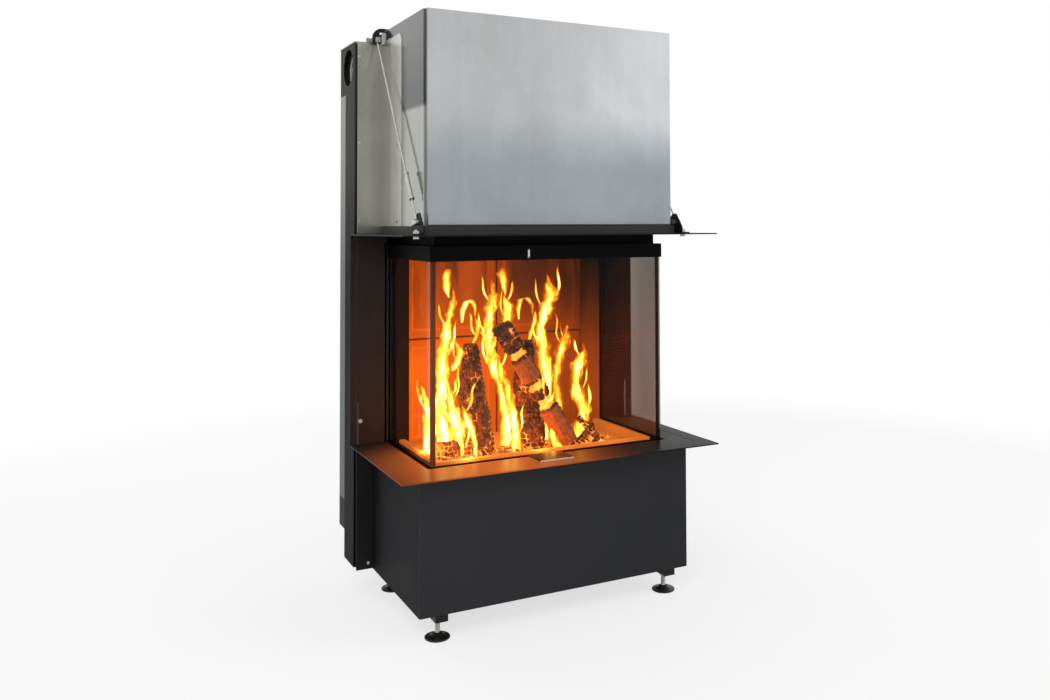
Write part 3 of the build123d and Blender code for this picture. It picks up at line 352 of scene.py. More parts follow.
@dataclass(frozen=True)
class Sheet:
    """Sheet or turned metal: a base colour with soft clouds, a fine grain, and uneven gloss.

    Colours are linear. The cloud and grain amounts are shares of the base colour. The fade is painted light:
    a tone taken on along an axis, from its first to its last place in metres, a painted shade where it is
    darker and a painted highlight where it is lighter. The painted fire light is emission that stands in for
    the light that the fire throws on the sheet, strongest at one place and gone at a reach from it.
    """

    name: str
    colour: Colour
    metallic: float = 0.0
    rough: float = 0.5
    rough_spread: float = 0.08
    clouds: float = 0.1
    cloud_scale: float = 3.0
    grain: float = 0.06
    grain_scale: float = 900.0
    grain_stretch: Point = EVEN
    relief: float = 0.00002
    specular: float = 0.5
    # Painted light and shade: a tone taken on along an axis, between fade_from and fade_to
    painted_light_axis: str = ""
    fade_from: float = 0.0
    fade_to: float = 1.0
    painted_light_colour: Colour = WHITE
    # Painted fire light: emission that stands in for the fire's light on the sheet
    painted_fire_light: Colour = (1.0, 0.2, 0.03)
    painted_fire_light_strength: float = 0.0
    painted_fire_light_centre: Point = (0.0, 0.0, 0.0)
    painted_fire_light_reach: float = 1.0
    painted_fire_light_clouds: tuple[float, float] = (0.8, 1.1)

    def build(self) -> bpy.types.Material:
        """The finish as a material.

        Returns:
            The material.
        """
        t = material_tree(self.name)
        cloud = t.noise(self.cloud_scale, 3.0, rough=0.55)
        grain = t.noise(self.grain_scale, 1.0, self.grain_stretch)
        dark = tuple(c * (1 - self.clouds) for c in self.colour)
        light = tuple(min(1.0, c * (1 + self.clouds)) for c in self.colour)
        base = t.mix(cloud.remap(*MOST), dark, light)
        # painted light and shade along an axis
        if self.painted_light_axis:
            along = t.axis(self.painted_light_axis).remap(self.fade_from, self.fade_to, smooth=True)
            base = t.mix(along, base, self.painted_light_colour)
        sockets = {
            "Base Color": t.scaled(base, grain.remap(*MOST, 1 - self.grain, 1 + self.grain)),
            "Metallic": self.metallic,
            "Roughness": cloud.remap(*ALL, self.rough - self.rough_spread, self.rough + self.rough_spread),
            "Specular IOR Level": self.specular,
            "Normal": t.bump(grain, self.relief),
        }
        # painted fire light: emission near one place, standing in for the fire's light
        if self.painted_fire_light_strength:
            near = t.away_from(self.painted_fire_light_centre).remap(self.painted_fire_light_reach, 0.0, smooth=True)
            near = near * cloud.remap(*ALL, *self.painted_fire_light_clouds)
            sockets |= {"Emission Color": self.painted_fire_light, "Emission Strength": near * self.painted_fire_light_strength}
        return t.finish(t.add("BsdfPrincipled", sockets))


@dataclass(frozen=True)
class Galvanised:
    """Zinc-coated sheet: fine crystals, soft clouds and faint rolling lines.

    Each painted tone is light or shade painted onto the zinc: a tone that the sheet takes on along an axis,
    from its first to its last place in metres.
    The amounts are shares of the base colour, and the crystals also differ in gloss.
    """

    name: str
    colour: Colour
    # Painted light and shade: tones along axes that stand in for reflections and shade on the zinc
    painted_light_and_shade: tuple[tuple[str, float, float, Colour], ...] = ()
    metallic: float = 0.85
    rough: float = 0.42
    rough_spread: float = 0.08
    clouds: float = 0.07
    crystals: float = 0.045
    crystal_scale: float = 420.0
    crystal_range: tuple[float, float] = (0.1, 0.9)
    lines: tuple[float, float] = (0.985, 1.03)
    relief: float = 0.000007

    def build(self) -> bpy.types.Material:
        """The finish as a material.

        Returns:
            The material.
        """
        t = material_tree(self.name)
        cloud = t.noise(5.5, 4.0, (1, 1, 0.8), 0.6, 0.4)
        line = t.noise(34.0, 2.0, (1, 1, 0.05))
        fine = t.noise(1600.0, 2.0)
        crystal = t.cells(self.crystal_scale)
        base = self.colour
        # painted light and shade along each axis
        for axis, first, last, tone in self.painted_light_and_shade:
            base = t.mix(t.axis(axis).remap(first, last, smooth=True), base, tone)
        shade = cloud.remap(*MOST, 1 - self.clouds, 1 + self.clouds, smooth=True)
        shade = shade * crystal.remap(*self.crystal_range, 1 - self.crystals, 1 + self.crystals)
        shade = shade * line.remap(0.4, 0.75, *self.lines)
        least, most = self.rough - self.rough_spread, self.rough + self.rough_spread
        return t.finish(t.add("BsdfPrincipled", {
            "Base Color": t.scaled(base, shade), "Metallic": self.metallic,
            "Roughness": crystal.remap(*self.crystal_range, least, most), "Normal": t.bump(fine, self.relief),
        }))


@dataclass(frozen=True)
class FireClay:
    """Pressed refractory: sandy grain, soot in clouds, and painted fire light, an emission for the light of
    the fire in front of it.

    The painted fire light fades from the hottest place outwards, and soot dims it above a height. Where the
    sheet is made of panels, two by two, a painted shade dims it at their joints and a painted highlight on
    the pressed frame in each shows through the soot.
    """

    name: str
    colour: Colour
    glow: Colour
    strength: float
    centre: Point
    reach: float
    soot_from: float = 9.0
    soot_to: float = 10.0
    panels: tuple[float, float, float, float] | None = None
    frame_middle: float = 0.0235
    frame_half: float = 0.0045
    # Shares of the painted fire light: added on the frames, left at the joints and left under soot
    frame_painted_light: float = 0.22
    joint_half: float = 0.0035
    joint_painted_light: float = 0.05
    sooted_painted_light: float = 0.16
    relief: float = 0.0004

    def from_panel_edge(self, t: Tree) -> Value:
        """Distance to the nearest edge of a panel.

        It is the least of the distances to the middle joint, the outer edge, the foot, the head and the
        joint between the two rows. The panels are given as outer half width, foot, joint and head.

        Args:
            t: the tree that it goes into.

        Returns:
            The distance, in metres.
        """
        half, foot, joint, head = self.panels
        x, z = abs(t.axis("X")), t.axis("Z")
        beside = t.least(x, half - x)
        above = t.least(z - foot, head - z)
        return t.least(beside, t.least(above, abs(z - joint)))

    def build(self) -> bpy.types.Material:
        """The finish as a material.

        Returns:
            The material.
        """
        t = material_tree(self.name)
        cloud = t.noise(9.0, 4.0, (1, 1, 0.55), 0.6, 0.3)
        plume = t.noise(16.0, 3.0, (1, 1, 0.25), 0.55, 0.4)
        sand = t.noise(700.0, 2.0, rough=0.7)
        dim, dark = (tuple(c * share for c in self.colour) for share in (0.6, 0.5))
        base = t.mix(cloud.remap(0.35, 0.7, smooth=True), dim, self.colour)
        base = t.mix(sand.remap(0.35, 0.7, 0.0, 0.35), base, dark)
        # painted fire light: emission by distance from the fire
        near = t.away_from(self.centre).remap(self.reach, 0.0, smooth=True)
        height = t.axis("Z").remap(self.soot_from, self.soot_to, smooth=True)
        soot = height * plume.remap(0.35, 0.65, 0.25, 1.0, smooth=True)
        heat = near * cloud.remap(*ALL, 0.7, 1.05)
        heat = heat * soot.remap(0.0, 1.0, 1.0, self.sooted_painted_light)
        heat = heat * sand.remap(*MOST, 0.88, 1.06)
        # painted highlight on the pressed frames and painted shade in the joints
        if self.panels:
            edge = self.from_panel_edge(t)
            frame = abs(edge - self.frame_middle).remap(self.frame_half, 0.5 * self.frame_half, smooth=True)
            heat = heat + frame * (near * self.frame_painted_light)
            heat = heat * edge.remap(0.4 * self.joint_half, self.joint_half, self.joint_painted_light, 1.0)
        return t.finish(t.add("BsdfPrincipled", {
            "Base Color": base, "Roughness": 0.85, "Specular IOR Level": 0.15, "Emission Color": self.glow,
            "Emission Strength": heat * self.strength, "Normal": t.bump(sand, self.relief),
        }))


@dataclass(frozen=True)
class ClearGlass:
    """Ceramic glass: what is behind shows through a faint tint, and its surface shines more at a slant."""

    name: str
    tint: Colour
    # A darker tint, brought in by soft streaks along Z
    streak_tint: Colour = (0.6, 0.55, 0.5)
    streak_most: float = 0.0
    rough: float = 0.015
    smear_rough: float = 0.06
    facing_gloss: float = 0.003
    slant_gloss: float = 0.35

    def build(self) -> bpy.types.Material:
        """The finish as a material.

        Returns:
            The material.
        """
        t = material_tree(self.name)
        smear = t.noise(6.0, 2.0, (1, 1, 0.25))
        film = smear.remap(*MOST, 0.45 * self.streak_most, self.streak_most)
        clear = t.add("BsdfTransparent", {"Color": t.mix(film, self.tint, self.streak_tint)})
        rough = smear.remap(0.3, 0.8, self.rough, self.rough + self.smear_rough)
        shine = t.add("BsdfGlossy", {"Color": WHITE, "Roughness": rough})
        steep = t.add("LayerWeight", out="Facing") ** 5.0
        return t.finish(t.either(steep.remap(0.0, 1.0, self.facing_gloss, self.slant_gloss), clear, shine))


@dataclass(frozen=True)
class CharredWood:
    """Burnt log: black shining blocks with grey ash, and embers in the cracks between them.

    The mesh carries crack, 1 in the gaps between blocks, burning, 1 where the log burns hardest, and a
    third, 1 where its face is still red wood and where painted fire light falls on the side facing the
    flames.
    """

    name: str
    char: Colour
    ash: Colour
    wood: Colour
    strength: float
    # Painted shade: the cracks go near black.
    gap: Colour = (0.006, 0.003, 0.002)
    crack_glow: float = 1.3
    break_glow: float = 0.4
    glow_limits: tuple[float, float] = (0.4, 0.66)
    # Glow on bare red wood and painted fire light on the side facing the flames
    wood_and_firelight_glow: tuple[float, float] = (0.05, 0.22)
    relief: float = 0.0009

    def build(self) -> bpy.types.Material:
        """The finish as a material.

        Returns:
            The material.
        """
        t = material_tree(self.name)
        patch = t.noise(30.0, 3.0, rough=0.6)
        fine = t.noise(380.0, 3.0, (1, 1, 0.4), 0.65)
        crack, burning, wood_and_firelight = (t.attribute(name) for name in ("crack", "burning", "wood_and_firelight"))
        base = t.mix(fine.remap(0.5, 0.75, 0.0, 0.3), self.char, self.ash)
        base = t.mix(patch.remap(0.35, 0.65, 0.0, 0.55), base, tuple(c * 0.35 for c in self.char))
        # red wood on bare faces and painted fire light on the side facing the flames; painted shade in the
        # cracks
        base = t.mix(crack, t.mix(wood_and_firelight, base, self.wood), self.gap)
        alight = burning * self.crack_glow + patch.remap(0.42, 0.7, -0.5, 0.6)
        ember = crack * t.most(alight, 0.0) + burning.remap(0.75, 1.0) * self.break_glow
        ember = t.least(ember, patch.remap(0.35, 0.65, *self.glow_limits))
        # glow on bare red wood and painted fire light on the side facing the flames
        ember = t.most(ember, wood_and_firelight * fine.remap(0.35, 0.7, *self.wood_and_firelight_glow))
        colour = ember.ramp(
            (0.0, (0.45, 0.07, 0.012)), (0.3, (0.9, 0.19, 0.02)), (0.65, (1.0, 0.42, 0.04)),
            (1.0, (1.0, 0.8, 0.3)))
        return t.finish(t.add("BsdfPrincipled", {
            "Base Color": base, "Roughness": fine.remap(*MOST, 0.3, 0.65), "Specular IOR Level": 0.2,
            "Emission Color": colour, "Emission Strength": ember * self.strength,
            "Normal": t.bump(fine, self.relief),
        }))


@dataclass(frozen=True)
class Coals:
    """Glowing coals: ash-grey skins over orange hearts."""

    name: str
    ash: Colour
    strength: float
    black: Colour = (0.012, 0.008, 0.006)
    relief: float = 0.0006

    def build(self) -> bpy.types.Material:
        """The finish as a material.

        Returns:
            The material.
        """
        t = material_tree(self.name)
        patch = t.noise(75.0, 3.0, rough=0.6)
        fine = t.noise(600.0, 2.0)
        hot = patch.remap(0.36, 0.66, smooth=True) * fine.remap(*MOST, 0.6, 1.0)
        colour = hot.ramp(
            (0.0, (0.3, 0.012, 0.0)), (0.4, (0.95, 0.12, 0.004)), (0.75, (1.0, 0.33, 0.03)),
            (1.0, (1.0, 0.7, 0.18)))
        return t.finish(t.add("BsdfPrincipled", {
            "Base Color": t.mix(fine.remap(0.35, 0.65), self.black, self.ash), "Roughness": 0.85,
            "Specular IOR Level": 0.2, "Emission Color": colour, "Emission Strength": hot * self.strength,
            "Normal": t.bump(fine, self.relief),
        }))


@dataclass(frozen=True)
class FlameGas:
    """Burning gas: white-yellow hearts, orange skirts, clear at the edges.

    The mesh's UV map holds the place across a tongue and up it, 0 to 1, and burning is 1 in the hottest.
    """

    name: str
    strength: float
    edge_power: float = 1.6
    edge_drop: float = 2.1
    body_heat: float = 0.36
    own_heat: float = 0.16
    tip_cool: float = 0.16
    skirt_strength: float = 0.85

    def build(self) -> bpy.types.Material:
        """The finish as a material.

        Returns:
            The material.
        """
        t = material_tree(self.name)
        place = t.add("SeparateXYZ", {0: t.coordinates("UV")}, "X")
        across, up = abs(place * 2.0 - 1.0), place.beside("Y")
        burning = t.attribute("burning")
        lick = t.noise(30.0, 3.0, (1, 1, 0.3), 0.55, 0.7)
        vein = t.noise(85.0, 3.0, (1, 1, 0.16), 0.55, 0.5)
        body = (1.0 - across ** self.edge_power) * self.edge_drop
        body = body + lick.remap(*ALL, -0.9, 0.45) + vein.remap(*ALL, -0.45, 0.35)
        body = body - up.remap(0.7, 1.0, 0.0, 0.7, smooth=True)
        dense = body.remap(0.0, 0.7, smooth=True) * vein.remap(0.3, 0.6, 0.7, 1.0)
        dense = dense * burning.remap(0.1, 1.3, 0.3, 0.95)
        heat = body * self.body_heat + burning * self.own_heat + vein.remap(*ALL, -0.2, 0.18)
        heat = heat - up * self.tip_cool
        colour = heat.ramp(
            (0.0, (0.8, 0.08, 0.0)), (0.3, (1.0, 0.2, 0.006)), (0.52, (1.0, 0.4, 0.02)),
            (0.78, (1.0, 0.68, 0.09)), (1.0, (1.0, 0.9, 0.4)))
        strength = heat.remap(0.3, 1.15, self.skirt_strength, self.strength)
        glow = t.add("Emission", {"Color": colour, "Strength": strength})
        return t.finish(t.either(dense, t.add("BsdfTransparent"), glow))


class Finish(Enum):
    """Every finish on the insert."""

    # Painted shade: the front panel darkens towards +X.
    BASE = Sheet("base_paint", srgb(38, 39, 42), rough=0.62, clouds=0.12, grain=0.22, grain_scale=1100,
                 relief=0.00004, specular=0.2, painted_light_axis="X", fade_from=-0.3, fade_to=0.3,
                 painted_light_colour=srgb(32, 33, 36))
    # Painted shade: a darker copy of the base paint for the side and rear panels and the floor.
    BASE_SIDE = Sheet("base_side_painted_shade", srgb(21, 22, 25), rough=0.62, clouds=0.12, grain=0.22,
                      grain_scale=1100, relief=0.00004, specular=0.06)
    # Painted fire light: emission that stands in for the fire's light on the plate, strongest at its front
    # left.
    PLATE = Sheet("plate_paint", srgb(30, 29, 28), rough=0.34, clouds=0.15, grain=0.2, grain_scale=1000,
                  relief=0.00002, specular=0.03, painted_fire_light_strength=0.62, painted_fire_light_centre=(-0.17, -0.225, 0.36),
                  painted_fire_light_reach=0.40)
    # Painted fire light: a faint emission that stands in for the fire's light on the corner strips.
    CORNER = Sheet("corner_trim", srgb(30, 16, 10), rough=0.5, clouds=0.15, grain=0.15, specular=0.08,
                   painted_fire_light=(1.0, 0.24, 0.06), painted_fire_light_strength=0.15, painted_fire_light_centre=(-0.29, -0.19, 0.56),
                   painted_fire_light_reach=0.45)
    CLADDING = Sheet("cladding_paint", srgb(26, 23, 24), rough=0.58, clouds=0.12, grain=0.2,
                     grain_scale=1000, relief=0.00003, specular=0.16)
    BLACK = Sheet("black_paint", srgb(15, 15, 17), rough=0.5, clouds=0.2, grain=0.2, specular=0.22)
    RAIL = Sheet("rail_black", srgb(6, 6, 9), rough=0.6, clouds=0.2, grain=0.2, specular=0.06)
    BAND = Sheet("band_paint", srgb(50, 50, 52), rough=0.5, clouds=0.12, grain=0.15, specular=0.25)
    # Painted shade: the columns darken towards the bottom.
    COLUMN = Sheet("column_paint", srgb(62, 62, 58), metallic=0.2, rough=0.55, clouds=0.14, grain=0.12,
                   specular=0.02, painted_light_axis="Z", fade_from=1.15, fade_to=0.75, painted_light_colour=srgb(18, 18, 20))
    # Painted highlight, lighter towards +X, and painted reflection, darker towards the bottom.
    HOOD_FRONT = Galvanised("hood_front_zinc", srgb(182, 183, 184), (
        ("X", -0.15, 0.33, srgb(208, 211, 214)), ("Z", 1.22, 1.05, srgb(156, 163, 167)),
    ))
    # Painted reflection: light below about 1.2 m, a sharp step to dark there, then lighter again towards the
    # top.
    HOOD_SIDE = Galvanised("hood_side_zinc", srgb(163, 163, 157), (
        ("Z", 1.196, 1.210, srgb(69, 70, 71)), ("Z", 1.21, 1.42, srgb(103, 103, 102)),
    ), rough=0.13, rough_spread=0.02, clouds=0.04)
    # Painted shade: darker behind y 0.05.
    COVER = Galvanised("cover_zinc", srgb(195, 195, 187), (("Y", 0.03, 0.05, srgb(172, 172, 165)),),
                       rough=0.24, rough_spread=0.03)
    # Painted shade: the housings darken towards the bottom.
    HOUSING = Galvanised("housing_zinc", srgb(136, 136, 133), (("Z", 1.2, 0.75, srgb(76, 77, 79)),))
    CHANNEL = Galvanised("channel_zinc", srgb(36, 36, 38), rough=0.55)
    HIDDEN = Galvanised("casing_zinc", srgb(166, 168, 168))
    LID = Sheet("lid_zinc", srgb(190, 190, 188), metallic=0.8, rough=0.35, clouds=0.1, grain=0.06)
    ZINC = Sheet("zinc_plate", srgb(196, 194, 186), metallic=0.95, rough=0.28, clouds=0.12, grain=0.08,
                 cloud_scale=40)
    # Painted highlight: the slider's front lip goes near white.
    BRIGHT = Sheet("air_tab_steel", srgb(62, 57, 53), metallic=0.6, rough=0.3, clouds=0.08, cloud_scale=20,
                   grain=0.08, grain_scale=500, grain_stretch=(0.06, 1, 1), painted_light_axis="Y",
                   fade_from=-0.2635, fade_to=-0.2655, painted_light_colour=srgb(235, 228, 220))
    PULLEY = Sheet("pulley_zinc", srgb(205, 205, 200), metallic=0.9, rough=0.3, clouds=0.15, cloud_scale=30)
    IRON = Sheet("weight_iron", srgb(46, 45, 44), metallic=0.3, rough=0.66, clouds=0.25, cloud_scale=25,
                 grain=0.25, relief=0.0001)
    ROPE = Sheet("rope_steel", srgb(150, 150, 148), metallic=0.9, rough=0.35, clouds=0.2, cloud_scale=60)
    FOOT = Sheet("foot_black", srgb(20, 20, 22), rough=0.42, clouds=0.2, cloud_scale=30, grain=0.2,
                 specular=0.35)
    SEAL = Sheet("seal_cord", srgb(60, 56, 50), rough=0.95, clouds=0.3, cloud_scale=60, grain=0.5,
                 grain_scale=420, relief=0.0004, specular=0.1)
    VERMICULITE = Sheet("baffle_board", srgb(176, 156, 120), rough=0.95, clouds=0.3, cloud_scale=18,
                        grain=0.5, grain_scale=260, relief=0.0005, specular=0.1)
    PAN = Sheet("pan_steel", srgb(16, 12, 11), rough=0.5, clouds=0.25, grain=0.2, specular=0.2)
    # Painted fire light: emission that stands in for the fire's light on the cheeks, the lining and the
    # hearth; on the ash bed it is partly its embers' own glow and partly painted fire light.
    CHEEK = FireClay("cheek_steel", (0.016, 0.009, 0.007), (1.0, 0.14, 0.004), 0.42, (0.27, 0.12, 0.44),
                     0.42, 0.55, 0.75)
    LINING = FireClay("back_chamotte", (0.07, 0.03, 0.013), (1.0, 0.12, 0.002), 1.15, (-0.27, 0.16, 0.46),
                      0.80, 0.58, 0.78, (0.262, 0.348, 0.628, 0.904))
    HEARTH = FireClay("hearth_chamotte", (0.22, 0.12, 0.06), (1.0, 0.2, 0.01), 1.0, (0.0, -0.10, 0.36), 0.7)
    ASH = FireClay("ash_bed", (0.16, 0.09, 0.05), (1.0, 0.2, 0.01), 1.2, (-0.05, -0.08, 0.36), 0.6)
    GLASS = ClearGlass("door_glass", (0.975, 0.98, 0.978))
    # The right pane is darker, with soft streaks along Z.
    GLASS_RIGHT = ClearGlass("door_glass_streaked", (0.62, 0.60, 0.57), (0.36, 0.33, 0.30), 0.9,
                             facing_gloss=0.1, slant_gloss=0.5)
    CHAR = CharredWood("burnt_wood", (0.030, 0.019, 0.013), (0.12, 0.10, 0.09), (0.09, 0.02, 0.006), 3.0)
    EMBERS = Coals("coals", (0.10, 0.07, 0.06), 2.4)
    FLAME = FlameGas("flame_gas", 8.0)

    @property
    def material(self) -> bpy.types.Material:
        """The finish's material, built at its first use."""
        return bpy.data.materials.get(self.value.name) or self.value.build()


# Meshes from arrays


class Closing(Enum):
    """How a grid of points closes."""

    OPEN = "its four sides stay open"
    BAND = "the last row joins the first"
    TUBE = "the last column joins the first, and both ends are closed with a point in their middle"


def placed(name: str, data: bpy.types.ID) -> bpy.types.Object:
    """Puts new data into the scene.

    Args:
        name: the object's name.
        data: its mesh, light or camera.

    Returns:
        The object, at the origin.
    """
    made = bpy.data.objects.new(name, data)
    bpy.context.scene.collection.objects.link(made)
    return made


def skin(name: str, points: np.ndarray, closing: Closing = Closing.TUBE, uv: np.ndarray | None = None,
         values: dict[str, np.ndarray] | None = None) -> bpy.types.Object:
    """A grid of points as a surface: row i, column j joins its neighbours in quads.

    Args:
        name: the piece's name.
        points: rows by columns by 3, in metres.
        closing: how the grid closes.
        uv: rows by columns by 2, kept as the UV map.
        values: numbers for each point, rows by columns, kept as attributes.

    Returns:
        The object, at the origin.
    """
    tube = closing is Closing.TUBE
    rows, columns = points.shape[:2]
    index = np.arange(rows * columns).reshape(rows, columns)
    right = np.roll(index, -1, axis=1)
    quads = np.stack([index, right, np.roll(right, -1, axis=0), np.roll(index, -1, axis=0)], axis=-1)
    quads = quads[: rows if closing is Closing.BAND else rows - 1, : columns if tube else columns - 1]
    flat = points.reshape(-1, 3)
    faces = quads.reshape(-1, 4).tolist()
    if tube:
        first, last = len(flat), len(flat) + 1
        flat = np.concatenate([flat, [points[0].mean(axis=0), points[-1].mean(axis=0)]])
        ring, end = index[0], index[-1]
        faces += np.stack([np.roll(ring, -1), ring, np.full(columns, first)], axis=-1).tolist()
        faces += np.stack([end, np.roll(end, -1), np.full(columns, last)], axis=-1).tolist()
    mesh = bpy.data.meshes.new(name)
    mesh.from_pydata(flat.tolist(), [], faces)
    for key, value in (values or {}).items():
        numbers = value.reshape(-1)
        if tube:
            numbers = np.append(numbers, [value[0].mean(), value[-1].mean()])
        mesh.attributes.new(key, "FLOAT", "POINT").data.foreach_set("value", numbers.astype(np.float32))
    if uv is not None:
        flat_uv = uv.reshape(-1, 2)
        if tube:
            flat_uv = np.concatenate([flat_uv, [uv[0].mean(axis=0), uv[-1].mean(axis=0)]])
        corners = np.zeros(len(mesh.loops), dtype=np.int32)
        mesh.loops.foreach_get("vertex_index", corners)
        corner_uv = flat_uv[corners].astype(np.float32).reshape(-1)
        mesh.uv_layers.new(name="UVMap").data.foreach_set("uv", corner_uv)
    mesh.polygons.foreach_set("use_smooth", np.ones(len(mesh.polygons), dtype=bool))
    made = placed(name, mesh)
    outward(made)
    return made


def outward(piece: bpy.types.Object) -> None:
    """Turns a closed piece's faces to the outside.

    Args:
        piece: the piece.
    """
    work = bmesh.new()
    work.from_mesh(piece.data)
    bmesh.ops.recalc_face_normals(work, faces=work.faces)
    work.to_mesh(piece.data)
    work.free()


def joined(name: str, pieces: list[bpy.types.Object]) -> bpy.types.Object:
    """Several pieces as one.

    Args:
        name: the new piece's name.
        pieces: the pieces, which are taken away.

    Returns:
        The new piece.
    """
    work = bmesh.new()
    for piece in pieces:
        work.from_mesh(piece.data)
        bpy.data.objects.remove(piece)
    mesh = bpy.data.meshes.new(name)
    work.to_mesh(mesh)
    work.free()
    return placed(name, mesh)


def round_about(sides: int) -> np.ndarray:
    """Evenly spaced angles of one full turn."""
    return np.linspace(0, FULL_TURN, sides, endpoint=False)


def frames_along(path: np.ndarray) -> tuple[np.ndarray, np.ndarray]:
    """Two unit directions across a path at each point, square to it and to one another.

    The first is the cross product of the tangent and an axis well off it, the second that of the tangent
    and the first.

    Args:
        path: points by 3.

    Returns:
        The two directions, points by 3 each.
    """
    tangent = np.gradient(path, axis=0)
    tangent /= np.linalg.norm(tangent, axis=1, keepdims=True)
    spare = np.array([1.0, 0.0, 0.0]) if abs(tangent[:, 0]).max() < 0.9 else np.array([0.0, 1.0, 0.0])
    side = np.cross(tangent, spare)
    side /= np.linalg.norm(side, axis=1, keepdims=True)
    return side, np.cross(tangent, side)


def rope(name: str, path: np.ndarray, radius: float, lay: float, strands: int = 6,
         strand_sides: int = 6) -> bpy.types.Object:
    """A wire rope: the middle of each strand winds once round the path in each lay length.

    Args:
        name: the piece's name.
        path: the points of the rope's middle, evenly spaced.
        radius: the rope's outer radius.
        lay: the length of one turn.
        strands: how many strands it has.
        strand_sides: points round a strand.

    Returns:
        The rope.
    """
    side, rise = frames_along(path)
    steps = np.linalg.norm(np.diff(path, axis=0), axis=1)
    run = np.concatenate([[0.0], np.cumsum(steps)])
    strand_r = radius / 3
    reach = radius - strand_r
    round_strand = round_about(strand_sides)[None, :, None]
    made = []
    for strand in range(strands):
        turn = FULL_TURN * (run / lay + strand / strands)
        out = np.cos(turn)[:, None] * side + np.sin(turn)[:, None] * rise
        cross = -np.sin(turn)[:, None] * side + np.cos(turn)[:, None] * rise
        middle = path + reach * out
        points = (
            middle[:, None, :]
            + strand_r * np.cos(round_strand) * out[:, None, :]
            + strand_r * np.sin(round_strand) * cross[:, None, :]
        )
        made.append(skin(f"{name}_{strand}", points))
    return joined(name, made)


def turned(name: str, centre: Point, profile: np.ndarray, sides: int, pitch: float = 0.0,
           thread: tuple[float, float] = (0.0, 0.0), depth: float = 0.0) -> bpy.types.Object:
    """A turned piece about a vertical axis, with a thread cut between two heights.

    The radius follows the profile. In the thread it dips and rises once in each pitch, one turn a pitch.

    Args:
        name: the piece's name.
        centre: the foot of the axis.
        profile: radius and height pairs from the foot up.
        sides: points round the piece.
        pitch: the thread's pitch, or 0 for none.
        thread: the thread's lowest and highest place.
        depth: the thread's depth.

    Returns:
        The piece.
    """
    angle = round_about(sides)
    radius, height = profile[:, 0], profile[:, 1]
    wave = np.zeros((len(height), sides))
    if pitch:
        phase = height[:, None] / pitch - angle[None, :] / FULL_TURN
        inside = (height > thread[0]) & (height < thread[1])
        wave = np.abs((phase % 1.0) * 2 - 1) * depth * inside[:, None]
    reach = radius[:, None] - wave
    points = np.stack([
        centre[0] + reach * np.cos(angle)[None, :],
        centre[1] + reach * np.sin(angle)[None, :],
        centre[2] + np.repeat(height[:, None], sides, axis=1),
    ], axis=-1)
    return skin(name, points)


def ride(piece: bpy.types.Object, body: str, finish: Finish) -> bpy.types.Object:
    """Dresses a piece and sets it on its body.

    Args:
        piece: the piece.
        body: the body or node that it moves with.
        finish: its finish.

    Returns:
        The piece.
    """
    piece.data.materials.clear()
    piece.data.materials.append(finish.material)
    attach(piece, body)
    return piece


# Sub-assemblies


@dataclass
class Casing:
    """The rigid pieces that keep their own shape: each gets its finish."""

    frame: dict
    finishes: dict[Finish, tuple[str, ...]] = field(default_factory=lambda: {
        Finish.BASE: ("base_front_panel",),
        Finish.BASE_SIDE: ("base_side_rear_panels", "base_floor"),
        Finish.PLATE: ("lower_plate", "upper_plate"),
        Finish.CLADDING: ("front_cladding", "column_foot_covers"),
        Finish.BAND: ("upper_frame_band",),
        Finish.BLACK: (
            "foot_brackets", "door_stiles", "door_carriages", "tie_clevises", "tie_arches", "pan_bearers",
            "smoke_dome", "valve_seat", "firebox_rear_wall",
        ),
        Finish.RAIL: ("door_rails", "lintel"),
        Finish.CORNER: ("door_corner_strips",),
        Finish.CHANNEL: ("guide_channels",),
        Finish.COLUMN: ("column_shells", "column_heads"),
        Finish.HOOD_FRONT: ("hood_front_panel",),
        Finish.HOOD_SIDE: ("hood_side_panels",),
        Finish.COVER: ("hood_covers",),
        Finish.HOUSING: ("weight_housings",),
        Finish.HIDDEN: ("hood_top_panel", "rear_casing", "air_spigot", "flue_collar"),
        Finish.LID: ("column_lids",),
        Finish.ZINC: ("fasteners", "tie_rods", "door_catch", "pulley_axles"),
        Finish.BRIGHT: ("air_slider",),
        Finish.PULLEY: ("pulley_left", "pulley_right"),
        Finish.IRON: ("counterweight_left", "counterweight_right"),
        Finish.SEAL: ("door_seals",),
        Finish.VERMICULITE: ("baffle_plate",),
        Finish.CHEEK: ("cheeks",),
        Finish.PAN: ("firebox_pan",),
        Finish.LINING: ("back_lining",),
        Finish.HEARTH: ("hearth_blocks",),
        Finish.GLASS: ("door_glass_front", "door_glass_left"),
        Finish.GLASS_RIGHT: ("door_glass_right",),
    })

    def dress(self) -> None:
        """Gives every kept piece its material."""
        for finish, names in self.finishes.items():
            for name in names:
                slots = self.frame["nodes"][name].data.materials
                slots.clear()
                slots.append(finish.material)
            log.info("%s: %s", finish.value.name, ", ".join(names))


